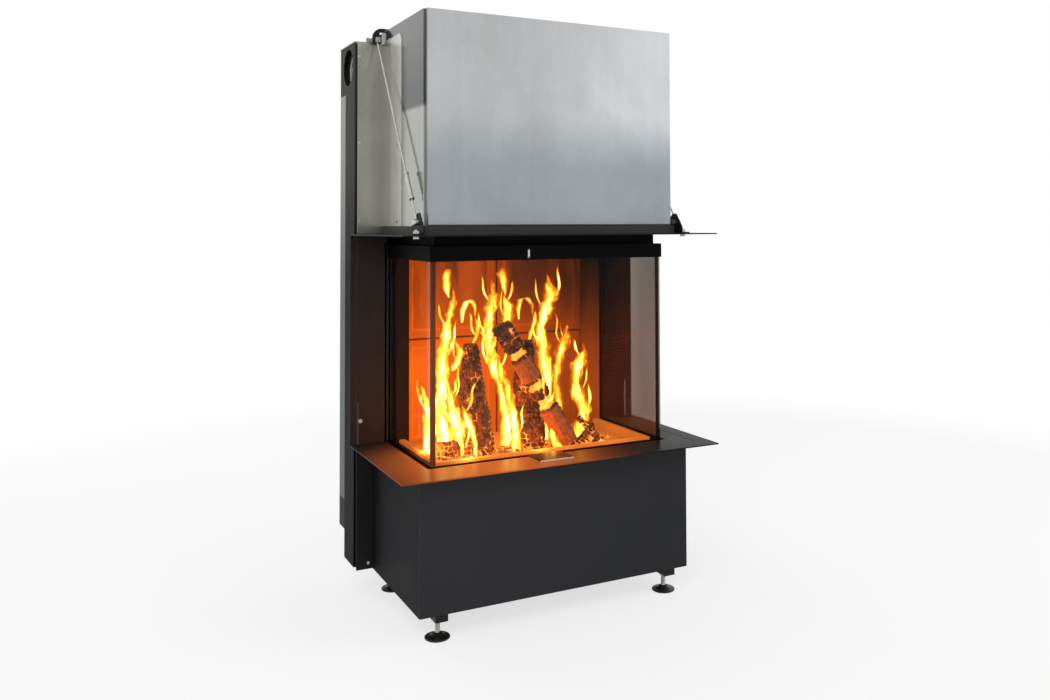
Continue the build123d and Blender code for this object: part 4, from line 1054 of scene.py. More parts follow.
@dataclass
class LiftCables:
    """The wire ropes that carry the door over the pulleys to the counterweights.

    Keep is the length that the door's ropes still have when the door is fully up. It is not used.
    """

    side_x: float = 0.375
    pulley_y: float = 0.220
    pulley_z: float = 1.338
    pitch_r: float = 0.056
    shoe_top: float = 0.835
    weight_top: float = 1.285
    radius: float = 0.0015
    lay: float = 0.010
    step: float = 0.0012
    keep: float = 0.066

    def upright(self, name: str, x: float, y: float, low: float) -> bpy.types.Object:
        """A straight rope up to the pulley's middle height.

        Args:
            name: the piece's name.
            x, y: its place.
            low: its lower end.

        Returns:
            The rope.
        """
        z = np.linspace(low, self.pulley_z, max(8, int((self.pulley_z - low) / self.step)))
        path = np.stack([np.full_like(z, x), np.full_like(z, y), z], axis=-1)
        return rope(name, path, self.radius, self.lay)

    def over(self, name: str, x: float) -> bpy.types.Object:
        """A rope's half turn over a pulley: a half circle from the front up and back.

        Args:
            name: the piece's name.
            x: its place.

        Returns:
            The rope.
        """
        turn = np.linspace(np.pi, 0, int(np.pi * self.pitch_r / self.step))
        y = self.pulley_y + self.pitch_r * np.cos(turn)
        z = self.pulley_z + self.pitch_r * np.sin(turn)
        return rope(name, np.stack([np.full_like(y, x), y, z], axis=-1), self.radius, self.lay)

    def build(self) -> None:
        """Makes the ropes: the door's and the pulleys' ride on the frame, and the weights' stay where they
        are made.
        """
        front_y, rear_y = self.pulley_y - self.pitch_r, self.pulley_y + self.pitch_r
        fronts, wraps = [], []
        for side, hand in ((-1, "left"), (1, "right")):
            x = side * self.side_x
            fronts.append(self.upright(f"door_rope_{hand}", x, front_y, self.shoe_top))
            wraps.append(self.over(f"wrap_rope_{hand}", x))
            weight = self.upright(f"weight_rope_{hand}", x, rear_y, self.weight_top)
            weight.data.materials.append(Finish.ROPE.material)
            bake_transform(weight)
            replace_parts(weight, f"weight_cable_{hand}")
        lifted = ride(joined("door_ropes", fronts), "frame", Finish.ROPE)
        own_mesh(lifted)
        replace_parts(lifted, "door_cables")
        over = ride(joined("pulley_ropes", wraps), "frame", Finish.ROPE)
        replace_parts(over, "cable_wraps")
        log.info("ropes: a door, a pulley and a weight stretch on each side")


@dataclass
class LevellingFeet:
    """Threaded stems with domed black pads, each in the place of its plain foot."""

    pad_r: float = 0.029
    pad_t: float = 0.005
    pad_sides: int = 48
    rim_steps: int = 9
    dish_share: float = 0.86
    dish_power: float = 2.2
    dish_steps: int = 12
    cone_r: float = 0.009
    cone_top: float = 0.013
    stem_r: float = 0.006
    stem_top: float = 0.108
    stem_sides: int = 28
    chamfer: float = 0.0012
    pitch: float = 0.00175
    rows_a_pitch: int = 8
    depth: float = 0.0006

    def pad(self, name: str, centre: Point) -> bpy.types.Object:
        """The pad: a disc whose rim is a half circle and whose top climbs to the hub by a power curve.

        Args:
            name: the piece's name.
            centre: the foot of its axis.

        Returns:
            The pad.
        """
        sweep = np.linspace(-np.pi / 2, np.pi / 2, self.rim_steps)
        half = self.pad_t / 2
        rim = np.stack([self.pad_r - half + half * np.cos(sweep), half + half * np.sin(sweep)], axis=-1)
        climb = np.linspace(0, 1, self.dish_steps)
        edge = self.pad_r * self.dish_share
        dish_r = edge + (self.cone_r - edge) * climb
        dish_z = self.pad_t + (self.cone_top - self.pad_t) * climb**self.dish_power
        profile = np.concatenate([[[self.cone_r, 0.0]], rim, np.stack([dish_r, dish_z], axis=-1)])
        return turned(name, centre, profile, self.pad_sides)

    def stem(self, name: str, centre: Point) -> bpy.types.Object:
        """The stem: a metric thread from inside the pad's hub to a chamfered end.

        Args:
            name: the piece's name.
            centre: the foot of its axis.

        Returns:
            The stem.
        """
        rows = int(self.stem_top / self.pitch * self.rows_a_pitch)
        height = np.linspace(self.cone_top - 0.002, self.stem_top, rows)
        radius = np.full_like(height, self.stem_r)
        radius -= np.clip(height - (self.stem_top - self.chamfer), 0, None)
        return turned(name, centre, np.stack([radius, height], axis=-1), self.stem_sides, self.pitch,
                      (self.cone_top + 0.002, self.stem_top - 0.001), self.depth)

    def build(self) -> None:
        """Makes the four feet where the frame has them."""
        for place in ("front_left", "front_right", "rear_left", "rear_right"):
            node = f"foot_{place}"
            low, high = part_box(node)
            centre = ((low.x + high.x) / 2, (low.y + high.y) / 2, low.z)
            pad = ride(self.pad(f"pad_{place}", centre), node, Finish.FOOT)
            stem = ride(self.stem(f"stem_{place}", centre), node, Finish.ZINC)
            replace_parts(pad, node)
            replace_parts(stem, node)
            log.info("foot: %s", place)


@dataclass
class Log:
    """One split log: a tapering post with flat split faces, burnt into blocks.

    The radius at an angle is that of a rounded polygon. Each block is crowned and stands a little in or
    out, the cracks between them are sunk, and at a break the log is thinned and burns through. Breaks are
    places and widths, and bare faces are stretches, both as shares of the way up. A spread is a constant
    and a cosine's share, which tell how far a face, or the painted fire light on the side facing the flames,
    goes round the lit side. Each wave has a size, its number round the log and its radians a metre along it.
    """

    name: str
    foot: Point
    head: Point
    foot_r: float
    head_r: float
    faces: int
    seed: int
    breaks: tuple[tuple[float, float], ...] = ()
    heat: float = 0.3
    # Painted fire light on the side facing the flames, shown as red wood colour and glow
    wood_and_firelight: float = 0.0
    bare: tuple[tuple[float, float], ...] = ()
    lit_from: float = 5.4
    cell: float = 0.0165
    cell_length: float = 0.0125
    cell_shift: float = 0.36
    columns: int = 190
    row_step: float = 0.0013
    crack_depth: float = 0.006
    crack_width: float = 0.24
    crown_width: float = 0.6
    crown_power: float = 0.55
    block_step: float = 0.0024
    block_level: float = 0.6
    split_share: float = 0.65
    split_twist: float = 0.3
    bark_share: float = 0.9
    waist: float = 0.4
    end_share: float = 0.86
    end_round: float = 0.03
    waves: tuple[Point, ...] = ((0.0012, 3, 40), (0.001, 5, -90))
    bare_edge: float = 0.02
    bare_spread: tuple[float, float] = (0.4, 1.5)
    bare_fill: float = 0.8
    bare_seal: float = 0.85
    bare_warm: float = 0.9
    lit_spread: tuple[float, float] = (0.15, 0.95)
    block_heat: float = 0.35
    break_heat: float = 1.2
    foot_heat: float = 0.5
    foot_reach: float = 0.03

    def blocks(self, across: np.ndarray, run: np.ndarray, around: float, rng: np.random.Generator
               ) -> tuple[np.ndarray, np.ndarray]:
        """How deep each point lies in its block, and each block's own random number.

        A shifted lattice has one seed a cell. The distance to a seed is the larger of the two offsets, in
        cells, so blocks are squarish, and an edge lies where the two nearest seeds are equally far.

        Args:
            across: place round the log, in metres.
            run: place along the log, in metres.
            around: the way round, in metres.
            rng: the source of the shifts.

        Returns:
            The second nearest distance less the nearest, and the nearest seed's number.
        """
        wide = max(5, round(around / self.cell))
        tall = int(run.max() / self.cell_length) + 4
        shift = rng.uniform(-self.cell_shift, self.cell_shift, (tall, wide, 2))
        number = rng.uniform(0, 1, (tall, wide))
        u = across / around * wide
        v = run / self.cell_length + 1.5
        near = np.full(u.shape, 9.0)
        second = np.full(u.shape, 9.0)
        mark = np.zeros(u.shape)
        for step_v in (-1, 0, 1):
            for step_u in (-1, 0, 1):
                column = np.floor(u).astype(int) + step_u
                row = np.clip(np.floor(v).astype(int) + step_v, 0, tall - 1)
                seed = shift[row, column % wide]
                away = np.maximum(abs(u - (column + 0.5 + seed[..., 0])), abs(v - (row + 0.5 + seed[..., 1])))
                closer = away < near
                second = np.where(closer, near, np.minimum(second, away))
                mark = np.where(closer, number[row, column % wide], mark)
                near = np.where(closer, away, near)
        return second - near, mark

    def post(self, angle: np.ndarray, share: np.ndarray) -> np.ndarray:
        """The bare log's radius: a taper, times a polygon's radius that is mixed with a circle's.

        Args:
            angle: angles round the log, 1 by columns.
            share: shares of the way up, rows by 1.

        Returns:
            The radius, rows by columns.
        """
        taper = self.foot_r + (self.head_r - self.foot_r) * share
        sector = FULL_TURN / self.faces
        twist = self.split_twist * np.sin(3 * share)
        facet = np.cos(np.pi / self.faces) / np.cos((angle + twist) % sector - sector / 2)
        return taper * (1 - self.split_share + self.split_share * facet)

    def facing(self, angle: np.ndarray, spread: tuple[float, float]) -> np.ndarray:
        """How far each angle faces the lit side, 0 to 1: a constant and a share of the cosine to it."""
        return np.clip(spread[0] + spread[1] * np.cos(angle - self.lit_from), 0, 1)

    def build(self) -> bpy.types.Object:
        """Makes the log: rings square to its axis, each point moved in or out by what the char does there.

        Returns:
            The log, with crack, burning and its red wood and painted fire light share as attributes.
        """
        rng = np.random.default_rng(self.seed)
        foot, head = np.array(self.foot), np.array(self.head)
        length = float(np.linalg.norm(head - foot))
        reach = (head - foot) / length
        side = np.cross(reach, [0.0, 1.0, 0.0])
        side /= np.linalg.norm(side)
        depth = np.cross(side, reach)
        run = np.linspace(0, length, int(length / self.row_step))[:, None]
        angle = round_about(self.columns)[None, :]
        share = run / length
        radius = self.post(angle, share)
        edge, mark = self.blocks(angle * self.foot_r * self.bark_share + 0 * run, run + 0 * angle,
                                 FULL_TURN * self.foot_r * self.bark_share, rng)
        bare = np.zeros_like(edge)
        for low, high in self.bare:
            inside = np.clip(np.minimum(share - low, high - share) / self.bare_edge, 0, 1)
            bare = np.maximum(bare, inside + 0 * edge)
        bare = bare * self.facing(angle, self.bare_spread)
        crown = np.clip(edge / self.crown_width, 0, 1) ** self.crown_power
        crown = crown + (1 - crown) * self.bare_fill * bare
        crack = (1 - np.clip(edge / self.crack_width, 0, 1)) * (1 - self.bare_seal * bare)
        burnt = np.zeros_like(edge)
        for place, width in self.breaks:
            burnt = np.maximum(burnt, np.exp(-(((share - place) / width) ** 4)) + 0 * edge)
        wave = sum(size * np.sin(angle * around + along * run) for size, around, along in self.waves)
        step = self.block_step * (mark - self.block_level) * (1 - bare)
        radius = radius - self.crack_depth * (1 - crown) + step + wave
        radius = radius - self.waist * radius * burnt
        radius = radius * np.clip(self.end_share + np.minimum(run, length - run) / self.end_round, 0, 1)
        burning = self.heat + self.block_heat * (mark - 0.5) + self.break_heat * burnt
        burning = np.clip(burning + self.foot_heat * np.exp(-run / self.foot_reach), 0, 1)
        # painted fire light per block on the side facing the flames, and red wood on bare faces
        lit = self.facing(angle, self.lit_spread) * np.clip(mark * 1.5 - 0.1, 0, 1)
        wood_and_firelight = np.clip(self.wood_and_firelight * lit * (1 - burnt) + self.bare_warm * bare, 0, 1)
        points = (
            foot + reach * run[..., None]
            + side * (radius * np.cos(angle))[..., None]
            + depth * (radius * np.sin(angle))[..., None]
        )
        return skin(self.name, points, values={
            "crack": np.clip(crack + burnt, 0, 1), "burning": burning, "wood_and_firelight": wood_and_firelight,
        })


@dataclass(frozen=True)
class Tongue:
    """One flame, in millimetres.

    Its place behind the glass, its heat, then its sections from the embers up: X, the height above the
    embers and half the width. Wisps are the thin licks that leave its sides.
    """

    name: str
    behind: float
    heat: float
    sections: tuple[Point, ...]
    wisps: int = 0


@dataclass
class Fire:
    """Logs, embers and flames on the hearth.

    A flame's edge wavers by three sines, given by their radians in each wave length of its height and
    their shares of its half width. Each wave of the ash bed has a size and its radians a metre along X
    and along Y. A pair is the least and the most of a random draw, apart from the growth of the wavering,
    which has its share at the foot and what it gains up to the tip.
    """

    logs: tuple[Log, ...] = (
        Log("left_log", (-0.148, -0.058, 0.362), (-0.165, -0.062, 0.635), 0.052, 0.021, 7, 11, heat=0.16,
            wood_and_firelight=0.75),
        Log("middle_log", (-0.003, -0.050, 0.362), (-0.011, -0.050, 0.635), 0.053, 0.021, 7, 23, heat=0.14,
            wood_and_firelight=0.6),
        Log("leaning_log", (0.084, -0.120, 0.370), (-0.100, -0.103, 0.684), 0.029, 0.029, 6, 37,
            ((0.375, 0.034), (0.51, 0.022), (0.77, 0.022)), 0.1, 0.35, ((0.03, 0.33), (0.55, 0.73))),
        Log("lying_log", (-0.266, -0.084, 0.388), (-0.204, -0.080, 0.387), 0.023, 0.021, 6, 41, heat=0.5,
            wood_and_firelight=0.8),
        Log("thin_stick", (0.192, -0.095, 0.362), (0.122, -0.090, 0.432), 0.011, 0.009, 5, 53, wood_and_firelight=0.6,
            cell=0.009, columns=60, crack_depth=0.0016),
        Log("cross_stick", (0.096, -0.118, 0.368), (0.178, -0.066, 0.404), 0.010, 0.008, 5, 59, heat=0.35,
            wood_and_firelight=0.5, cell=0.009, columns=60, crack_depth=0.0014),
    )
    tongues: tuple[Tongue, ...] = (
        Tongue("flame_tall_left", 155, 1.0, (
            (-216, 0, 28), (-217, 83, 35), (-222, 117, 33), (-228, 164, 22), (-230, 219, 17),
            (-222, 274, 18), (-216, 312, 13), (-208, 341, 12), (-195, 383, 9), (-198, 409, 2)), 5),
        Tongue("flame_base_left", 112, 1.35, (
            (-196, 22, 5), (-194, 48, 17), (-202, 76, 27), (-211, 100, 25), (-219, 128, 16), (-225, 158, 9),
            (-228, 184, 2)), 3),
        Tongue("flame_leg_left", 80, 1.2, (
            (-171, 0, 5), (-171, 30, 6), (-176, 60, 9), (-184, 86, 12), (-195, 110, 9), (-206, 134, 2)), 1),
        Tongue("flame_small_left", 155, 0.75, (
            (-262, 0, 12), (-265, 104, 10), (-271, 134, 10), (-280, 164, 6), (-284, 181, 2)), 2),
        Tongue("flame_curl_left", 132, 0.7, (
            (-204, 204, 6), (-196, 224, 13), (-188, 249, 13), (-201, 271, 7), (-209, 288, 2)), 1),
        Tongue("flame_between", 160, 0.9, (
            (-47, 0, 28), (-49, 40, 26), (-55, 84, 19), (-66, 129, 14), (-80, 173, 14), (-94, 218, 18),
            (-101, 253, 21), (-101, 288, 17), (-98, 318, 15), (-93, 348, 17), (-85, 379, 19), (-89, 409, 9),
            (-92, 427, 1)), 4),
        Tongue("flame_low_middle", 105, 0.55, (
            (-52, 0, 19), (-55, 59, 16), (-62, 102, 15), (-76, 159, 15), (-90, 207, 10), (-98, 233, 2)), 3),
        Tongue("flame_top_middle", 95, 0.8, (
            (-82, 302, 9), (-77, 335, 17), (-80, 361, 18), (-84, 391, 2)), 2),
        Tongue("flame_tall_right", 160, 0.9, (
            (56, 0, 9), (61, 73, 11), (63, 118, 13), (63, 162, 15), (56, 208, 19), (54, 244, 20),
            (44, 289, 13), (56, 324, 19), (67, 350, 21), (79, 377, 24), (72, 409, 12), (64, 436, 1)), 5),
        Tongue("flame_haze_right", 190, 0.3, (
            (118, 0, 10), (111, 109, 15), (101, 155, 14), (109, 200, 17), (130, 263, 17), (139, 295, 3)),
            2),
        Tongue("flame_right", 120, 0.9, (
            (131, 0, 12), (140, 46, 17), (149, 81, 20), (131, 118, 19), (121, 155, 20), (131, 189, 22),
            (142, 211, 18), (154, 233, 11), (152, 255, 2)), 4),
        Tongue("flame_foot_right", 60, 0.85, ((43, 0, 13), (33, 40, 9), (24, 58, 2)), 1),
        Tongue("flame_foot_left", 78, 0.8, ((-200, 0, 9), (-204, 32, 7), (-211, 59, 8), (-224, 81, 2)), 1),
        Tongue("flame_cap_left", 118, 0.45, (
            (-191, 322, 3), (-190, 350, 7), (-180, 372, 9), (-165, 376, 9), (-153, 360, 8),
            (-154, 334, 3))),
        Tongue("flame_cap_right", 118, 0.45, (
            (-38, 322, 3), (-37, 350, 7), (-27, 372, 9), (-12, 376, 9), (0, 360, 8), (-1, 334, 3))),
        Tongue("flame_head_left", 150, 0.5, (
            (-150, 262, 4), (-140, 286, 8), (-134, 312, 7), (-142, 336, 2)), 1),
        Tongue("flame_head_right", 150, 0.5, ((8, 262, 4), (16, 286, 8), (22, 312, 7), (14, 336, 2)), 1),
        Tongue("flame_top_left", 178, 0.55, (
            (-203, 380, 2), (-205, 402, 9), (-206, 430, 13), (-206, 452, 11))),
        Tongue("flame_top_centre", 178, 0.55, (
            (-50, 380, 2), (-52, 402, 9), (-53, 430, 13), (-53, 452, 11))),
        Tongue("flame_break", 62, 0.85, ((2, 104, 4), (10, 116, 9), (27, 128, 8), (38, 142, 3)), 1),
        Tongue("flame_between_foot", 96, 0.95, (
            (-66, 0, 14), (-60, 22, 12), (-52, 46, 8), (-56, 70, 2)), 2),
    )
    rows: int = 110
    sides: int = 22
    flatness: float = 0.7
    spread: float = 1.15
    turn: float = math.radians(-28)
    sway: float = 0.006
    sway_turns: float = 5
    wave_counts: tuple[float, float, float] = (24.0, 55.0, 110.0)
    wave_sizes: tuple[float, float, float] = (0.16, 0.12, 0.06)
    wave_length: float = 0.3
    wave_growth: tuple[float, float] = (0.4, 1.1)
    tip_share: float = 0.05
    tip_least: float = 0.03
    tip_power: float = 0.7
    least_half: float = 0.0004
    tip_heat_loss: float = 0.28
    wisp_rows: int = 30
    wisp_heat: float = 0.75
    wisp_starts: tuple[float, float] = (0.25, 0.85)
    wisp_lengths: tuple[float, float] = (0.035, 0.085)
    wisp_leans: tuple[float, float] = (0.1, 0.45)
    wisp_bends: tuple[float, float] = (3.0, 7.0)
    wisp_bow: float = 0.07
    wisp_root: float = 0.75
    wisp_depth: float = 0.3
    wisp_halves: tuple[float, float] = (0.0025, 0.005)
    coal_count: int = 300
    coal_heaps: tuple[tuple[float, float], ...] = (
        (-0.235, -0.100), (-0.190, -0.110), (-0.148, -0.060), (-0.075, -0.095), (-0.010, -0.060),
        (0.070, -0.110), (0.145, -0.085),
    )
    coal_spread: float = 0.026
    coal_sizes: tuple[float, float] = (0.0035, 0.008)
    coal_stretch: tuple[float, float] = (0.6, 1.35)
    coal_cut: float = 0.22
    heap_reach: float = 0.03
    heap_rise: float = 0.006
    glass_y: float = -0.190
    ember_z: float = 0.368
    bed_rise: float = 0.006
    bed_top: float = 0.366
    bed_dip: float = 0.0015
    bed_waves: tuple[Point, ...] = ((0.0008, 61, 23), (0.0006, -41, 97), (0.0004, 190, 0))
    bed_edge: float = 0.012
    bed_grid: tuple[int, int] = (220, 110)

    def smoothed(self, values: np.ndarray, v: np.ndarray) -> np.ndarray:
        """Values at even knots read along v and rounded: each is a mean weighted by a short parabola.

        Args:
            values: the knots.
            v: places from 0 to 1.

        Returns:
            A value for each place.
        """
        dense = np.interp(v, np.linspace(0, 1, len(values)), values)
        bell = 1 - np.linspace(-0.9, 0.9, 9) ** 2
        return np.convolve(np.pad(dense, len(bell) // 2, mode="edge"), bell / bell.sum(), "valid")

    def blade(self, name: str, path: np.ndarray, left: np.ndarray, right: np.ndarray, heat: np.ndarray
              ) -> bpy.types.Object:
        """A flame's skin: level flattened rings about a path, with a half width of its own on each side.

        Args:
            name: the piece's name.
            path: points by 3.
            left, right: the half widths along it.
            heat: the heat along it.

        Returns:
            The skin, with burning as an attribute.
        """
        theta = round_about(self.sides)[None, :]
        broad = np.array([math.cos(self.turn), math.sin(self.turn), 0.0])
        thin = np.array([-math.sin(self.turn), math.cos(self.turn), 0.0])
        half = np.where(np.cos(theta) > 0, right[:, None], left[:, None])
        deep = self.flatness * 0.5 * (left + right)[:, None]
        points = (
            path[:, None, :]
            + (half * np.cos(theta))[..., None] * broad
            + (deep * np.sin(theta))[..., None] * thin
        )
        v = np.linspace(0, 1, len(path))
        uv = np.stack([np.repeat(0.5 + 0.5 * np.cos(theta), len(v), axis=0),
                       np.repeat(v[:, None], self.sides, axis=1)], axis=-1)
        return skin(name, points, uv=uv, values={"burning": np.repeat(heat[:, None], self.sides, axis=1)})

    def edge(self, width: np.ndarray, v: np.ndarray, tall: float, rng: np.random.Generator) -> np.ndarray:
        """One wavering edge of a flame: its half width times 1 and three sines that grow towards the tip.

        Args:
            width: the smooth half width.
            v: the place up the flame, 0 to 1.
            tall: the flame's height.
            rng: the source of the phases.

        Returns:
            The half width on that side.
        """
        phase = rng.uniform(0, FULL_TURN, 3)
        waves = np.array(self.wave_counts)[None, :] * v[:, None] * tall / self.wave_length
        ragged = (np.sin(waves + phase) * self.wave_sizes).sum(axis=1)
        tip = np.clip((1 - v) / self.tip_share, self.tip_least, 1) ** self.tip_power
        grown = self.wave_growth[0] + self.wave_growth[1] * v
        return np.clip(width * (1 + ragged * grown) * tip, self.least_half, None)

    def flame(self, tongue: Tongue) -> bpy.types.Object:
        """One flame: its body, and wisps that leave its sides on a sine's curve.

        Args:
            tongue: the flame's sections.

        Returns:
            The flame.
        """
        rng = np.random.default_rng(sum(map(ord, tongue.name)))
        table = np.array(tongue.sections) * MM
        v = np.linspace(0, 1, self.rows)
        x, height, width = (self.smoothed(table[:, column], v) for column in range(3))
        y = np.full_like(x, self.glass_y + tongue.behind * MM)
        path = np.stack([x, y, self.ember_z + height], axis=-1)
        path[:, 1] += self.sway * np.sin(self.sway_turns * v + rng.uniform(0, 6))
        left, right = (self.edge(width * self.spread, v, float(np.ptp(height)), rng) for _ in range(2))
        parts = [self.blade(tongue.name, path, left, right, tongue.heat * (1 - self.tip_heat_loss * v))]
        s = np.linspace(0, 1, self.wisp_rows)
        heat = np.full(self.wisp_rows, self.wisp_heat * tongue.heat)
        for number in range(tongue.wisps):
            foot = int(rng.uniform(*self.wisp_starts) * (self.rows - 1))
            hand = rng.choice([-1.0, 1.0])
            length = rng.uniform(*self.wisp_lengths)
            lean, bend = rng.uniform(*self.wisp_leans), rng.uniform(*self.wisp_bends)
            reach = (left if hand < 0 else right)[foot] * self.wisp_root
            out = hand * (reach + length * (lean * s + self.wisp_bow * np.sin(bend * s)))
            wisp = path[foot] + np.stack([out, self.wisp_depth * out, length * s], axis=-1)
            swell = np.sin(np.pi * np.clip(0.12 + 0.88 * s, 0, 1)) ** 0.8
            thick = rng.uniform(*self.wisp_halves) * swell + 0.0003
            parts.append(self.blade(f"{tongue.name}_{number}", wisp, thick, thick, heat))
        return joined(tongue.name, parts)

    def coals(self) -> bpy.types.Object:
        """Coals heaped on the hearth: balls with cut faces, larger and higher near the middle of a heap.

        A ball's points are moved in or out by a random share, then stretched on each axis.

        Returns:
            The coals as one piece.
        """
        rng = np.random.default_rng(7)
        work = bmesh.new()
        bmesh.ops.create_icosphere(work, subdivisions=2, radius=1.0)
        ball_mesh = bpy.data.meshes.new("coal")
        work.to_mesh(ball_mesh)
        work.free()
        ball = np.zeros(len(ball_mesh.vertices) * 3)
        ball_mesh.vertices.foreach_get("co", ball)
        ball = ball.reshape(-1, 3)
        faces = np.zeros(len(ball_mesh.loops), dtype=np.int32)
        ball_mesh.loops.foreach_get("vertex_index", faces)
        bpy.data.meshes.remove(ball_mesh)
        count = self.coal_count
        heap = np.array(self.coal_heaps)[rng.integers(0, len(self.coal_heaps), count)]
        spot = heap + rng.normal(0, self.coal_spread, (count, 2)) * [1.2, 0.8]
        near = np.exp(-((np.linalg.norm(spot - heap, axis=1) / self.heap_reach) ** 2))
        size = rng.uniform(*self.coal_sizes, count) * (0.7 + 0.6 * near)
        place = np.concatenate([spot, (self.bed_top + 0.2 * size + self.heap_rise * near)[:, None]], axis=1)
        stretch = rng.uniform(*self.coal_stretch, (count, 1, 3))
        each = (count, len(ball), 1)
        lump = 1 + self.coal_cut * np.sign(rng.normal(size=each)) * rng.uniform(0, 1, each)
        points = place[:, None, :] + size[:, None, None] * ball[None] * stretch * lump
        points[..., 2] = np.maximum(points[..., 2], self.bed_top - self.bed_rise / 2)
        offset = (np.arange(count) * len(ball))[:, None]
        mesh = bpy.data.meshes.new("coals")
        mesh.from_pydata(points.reshape(-1, 3).tolist(), [], (faces[None] + offset).reshape(-1, 3).tolist())
        return placed("coals", mesh)

    def bed(self) -> bpy.types.Object:
        """The ash bed: a closed cushion whose top is a sum of three sines, let down to its foot at the edge.

        Returns:
            The bed.
        """
        low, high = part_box("ember_bed")
        gx, gy = np.meshgrid(np.linspace(low.x, high.x, self.bed_grid[0]),
                             np.linspace(low.y, high.y, self.bed_grid[1]))
        edge = np.minimum.reduce([gx - low.x, high.x - gx, gy - low.y, high.y - gy])
        wave = sum(size * np.sin(along * gx + back * gy) for size, along, back in self.bed_waves)
        top = self.bed_rise - self.bed_dip + wave
        over = np.stack([gx, gy, low.z + top * np.clip(edge / self.bed_edge, 0, 1) ** 0.5], axis=-1)
        under = np.stack([gx, gy, np.full_like(gx, low.z)], axis=-1)
        return skin("ash_bed", np.concatenate([over, under[::-1]]), Closing.BAND)

    def build(self) -> None:
        """Lays the fire."""
        for piece, finish in ((self.bed(), Finish.ASH), (self.coals(), Finish.EMBERS)):
            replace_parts(ride(piece, "frame", finish), "ember_bed")
        log.info("embers: %d coals", self.coal_count)
        for place in self.logs:
            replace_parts(ride(place.build(), "frame", Finish.CHAR), "firewood_logs")
            log.info("log: %s", place.name)
        for tongue in self.tongues:
            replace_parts(ride(self.flame(tongue), "frame", Finish.FLAME), "ember_bed")
            log.info("flame: %s", tongue.name)


# The view


@dataclass
class PhotoCamera:
    """The camera of the photograph: its place, its turn, and its long lens moved across the picture."""

    place: Point = (-1.0505, -2.3103, 0.9269)
    yaw: float = math.radians(28.0)
    pitch: float = math.radians(-1.59)
    roll: float = math.radians(-0.21)
    picture: tuple[int, int] = (1050, 700)
    focal_px: float = 967.22
    centre_px: tuple[float, float] = (580.0, 198.74)
    sensor: float = 36.0

    def build(self) -> None:
        """Sets the scene's camera: forward from yaw and pitch, then the other two axes turned by the roll."""
        ahead = math.cos(self.pitch)
        forward = Vector((math.sin(self.yaw) * ahead, math.cos(self.yaw) * ahead, -math.sin(self.pitch)))
        level = Vector((math.cos(self.yaw), -math.sin(self.yaw), 0))
        rise = level.cross(forward)
        right = level * math.cos(self.roll) + rise * math.sin(self.roll)
        up = rise * math.cos(self.roll) - level * math.sin(self.roll)
        width, height = self.picture
        data = bpy.data.cameras.new("photo_camera")
        data.sensor_fit = "HORIZONTAL"
        data.sensor_width = self.sensor
        data.lens = self.focal_px / width * self.sensor
        data.shift_x = (width / 2 - self.centre_px[0]) / width
        data.shift_y = (self.centre_px[1] - height / 2) / width
        data.clip_end = 100.0
        camera = placed("photo_camera", data)
        turn = Matrix((right, up, -forward)).transposed()
        camera.matrix_world = Matrix.Translation(self.place) @ turn.to_4x4()
        bpy.context.scene.camera = camera
        log.info("camera: lens %.1f mm", data.lens)


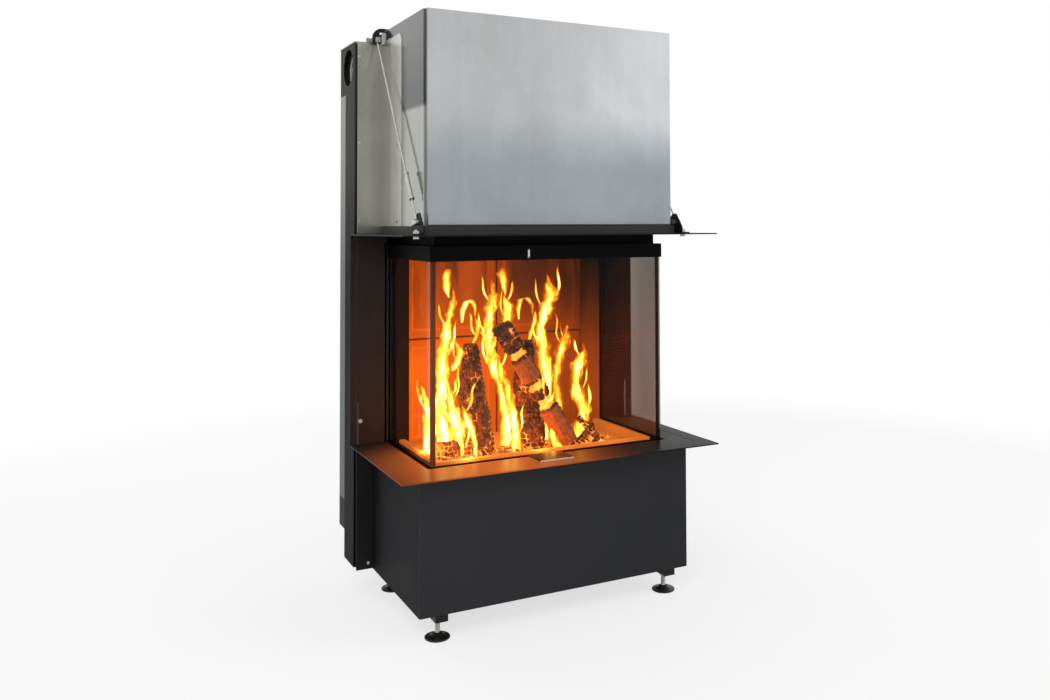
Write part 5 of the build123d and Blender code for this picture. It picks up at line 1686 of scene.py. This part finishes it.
@dataclass
class Studio:
    """A pale floor, a white surround, soft lamps about it and small ones in the fire."""

    floor_half: float = 9.0
    floor_veil: float = 0.7
    floor_colour: Colour = (0.93, 0.93, 0.93)
    fade_from: float = 0.9
    fade_to: float = 3.2
    world_strength: float = 0.62
    lamps: tuple[tuple[str, Point, Point, float, float], ...] = (
        ("key_lamp", (-2.6, -3.2, 3.4), (0, 0, 0.7), 2.4, 62.0),
        ("fill_lamp", (3.4, -2.6, 2.2), (0, 0, 0.8), 2.6, 46.0),
        ("rear_lamp", (-1.5, 3.6, 2.8), (0, 0, 0.8), 2.6, 40.0),
    )
    fire_lamps: tuple[tuple[str, Point, float, float], ...] = (
        ("fire_left", (-0.235, -0.10, 0.50), 0.05, 3.4),
        ("fire_middle", (-0.075, -0.10, 0.50), 0.04, 2.6),
        ("fire_right", (0.12, -0.05, 0.48), 0.05, 1.5),
        ("fire_front_left", (-0.21, -0.172, 0.395), 0.015, 1.5),
        ("fire_front_middle", (-0.02, -0.172, 0.395), 0.015, 1.2),
        ("fire_side_left", (-0.29, -0.05, 0.395), 0.015, 1.5),
    )
    fire_colour: Colour = (1.0, 0.27, 0.035)

    def surround(self) -> None:
        """White to the camera, to gloss and through glass, and softer as light."""
        world = bpy.data.worlds.new("studio")
        bpy.context.scene.world = world
        t = Tree(world, "OutputWorld")
        lit, white = (t.add("Background", {"Color": WHITE, "Strength": strength})
                      for strength in (self.world_strength, 1.0))
        t.finish(t.either(t.seen(), lit, white))

    def floor(self) -> None:
        """A wide floor that fades into the surround with its distance, under a veil of white where seen."""
        line = np.linspace(-self.floor_half, self.floor_half, 3)
        gx, gy = np.meshgrid(line, line)
        floor = skin("floor", np.stack([gx, gy, 0 * gx], axis=-1), Closing.OPEN)
        t = material_tree("floor_white")
        away = t.add("VectorMath", {0: t.coordinates()}, "Value", operation="LENGTH")
        fade = away.remap(self.fade_from, self.fade_to, smooth=True)
        matt = t.add("BsdfDiffuse", {"Color": self.floor_colour})
        pale = t.add("Emission", {"Color": WHITE})
        surface = t.either(t.most(fade, t.seen() * self.floor_veil), matt, pale)
        floor.data.materials.append(t.finish(surface))

    def lamp(self, name: str, kind: str, place: Point, power: float) -> bpy.types.Object:
        """A lamp that gloss doesn't show.

        Args:
            name: its name.
            kind: AREA or POINT.
            place: where it stands.
            power: its power in watts.

        Returns:
            The lamp.
        """
        data = bpy.data.lights.new(name, kind)
        data.energy = power
        lamp = placed(name, data)
        lamp.location = place
        lamp.visible_glossy = False
        return lamp

    def build(self) -> None:
        """Sets the surround, the floor and the lamps."""
        self.surround()
        self.floor()
        for name, place, aim, size, power in self.lamps:
            lamp = self.lamp(name, "AREA", place, power)
            lamp.data.size = size
            lamp.rotation_euler = (Vector(aim) - Vector(place)).to_track_quat("-Z", "Y").to_euler()
        for name, place, size, power in self.fire_lamps:
            lamp = self.lamp(name, "POINT", place, power)
            lamp.data.shadow_soft_size = size
            lamp.data.color = self.fire_colour
        log.info("studio: %d lamps", len(self.lamps) + len(self.fire_lamps))


def main() -> None:
    """Loads the frame, dresses it and sets the view."""
    logging.basicConfig(level=logging.INFO, format="%(message)s")
    bpy.ops.wm.read_factory_settings(use_empty=True)
    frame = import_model()
    Casing(frame).dress()
    for assembly in (LiftCables(), LevellingFeet(), Fire(), PhotoCamera(), Studio()):
        assembly.build()
    bpy.context.scene.view_settings.view_transform = "Standard"


if __name__ == "__main__":
    main()
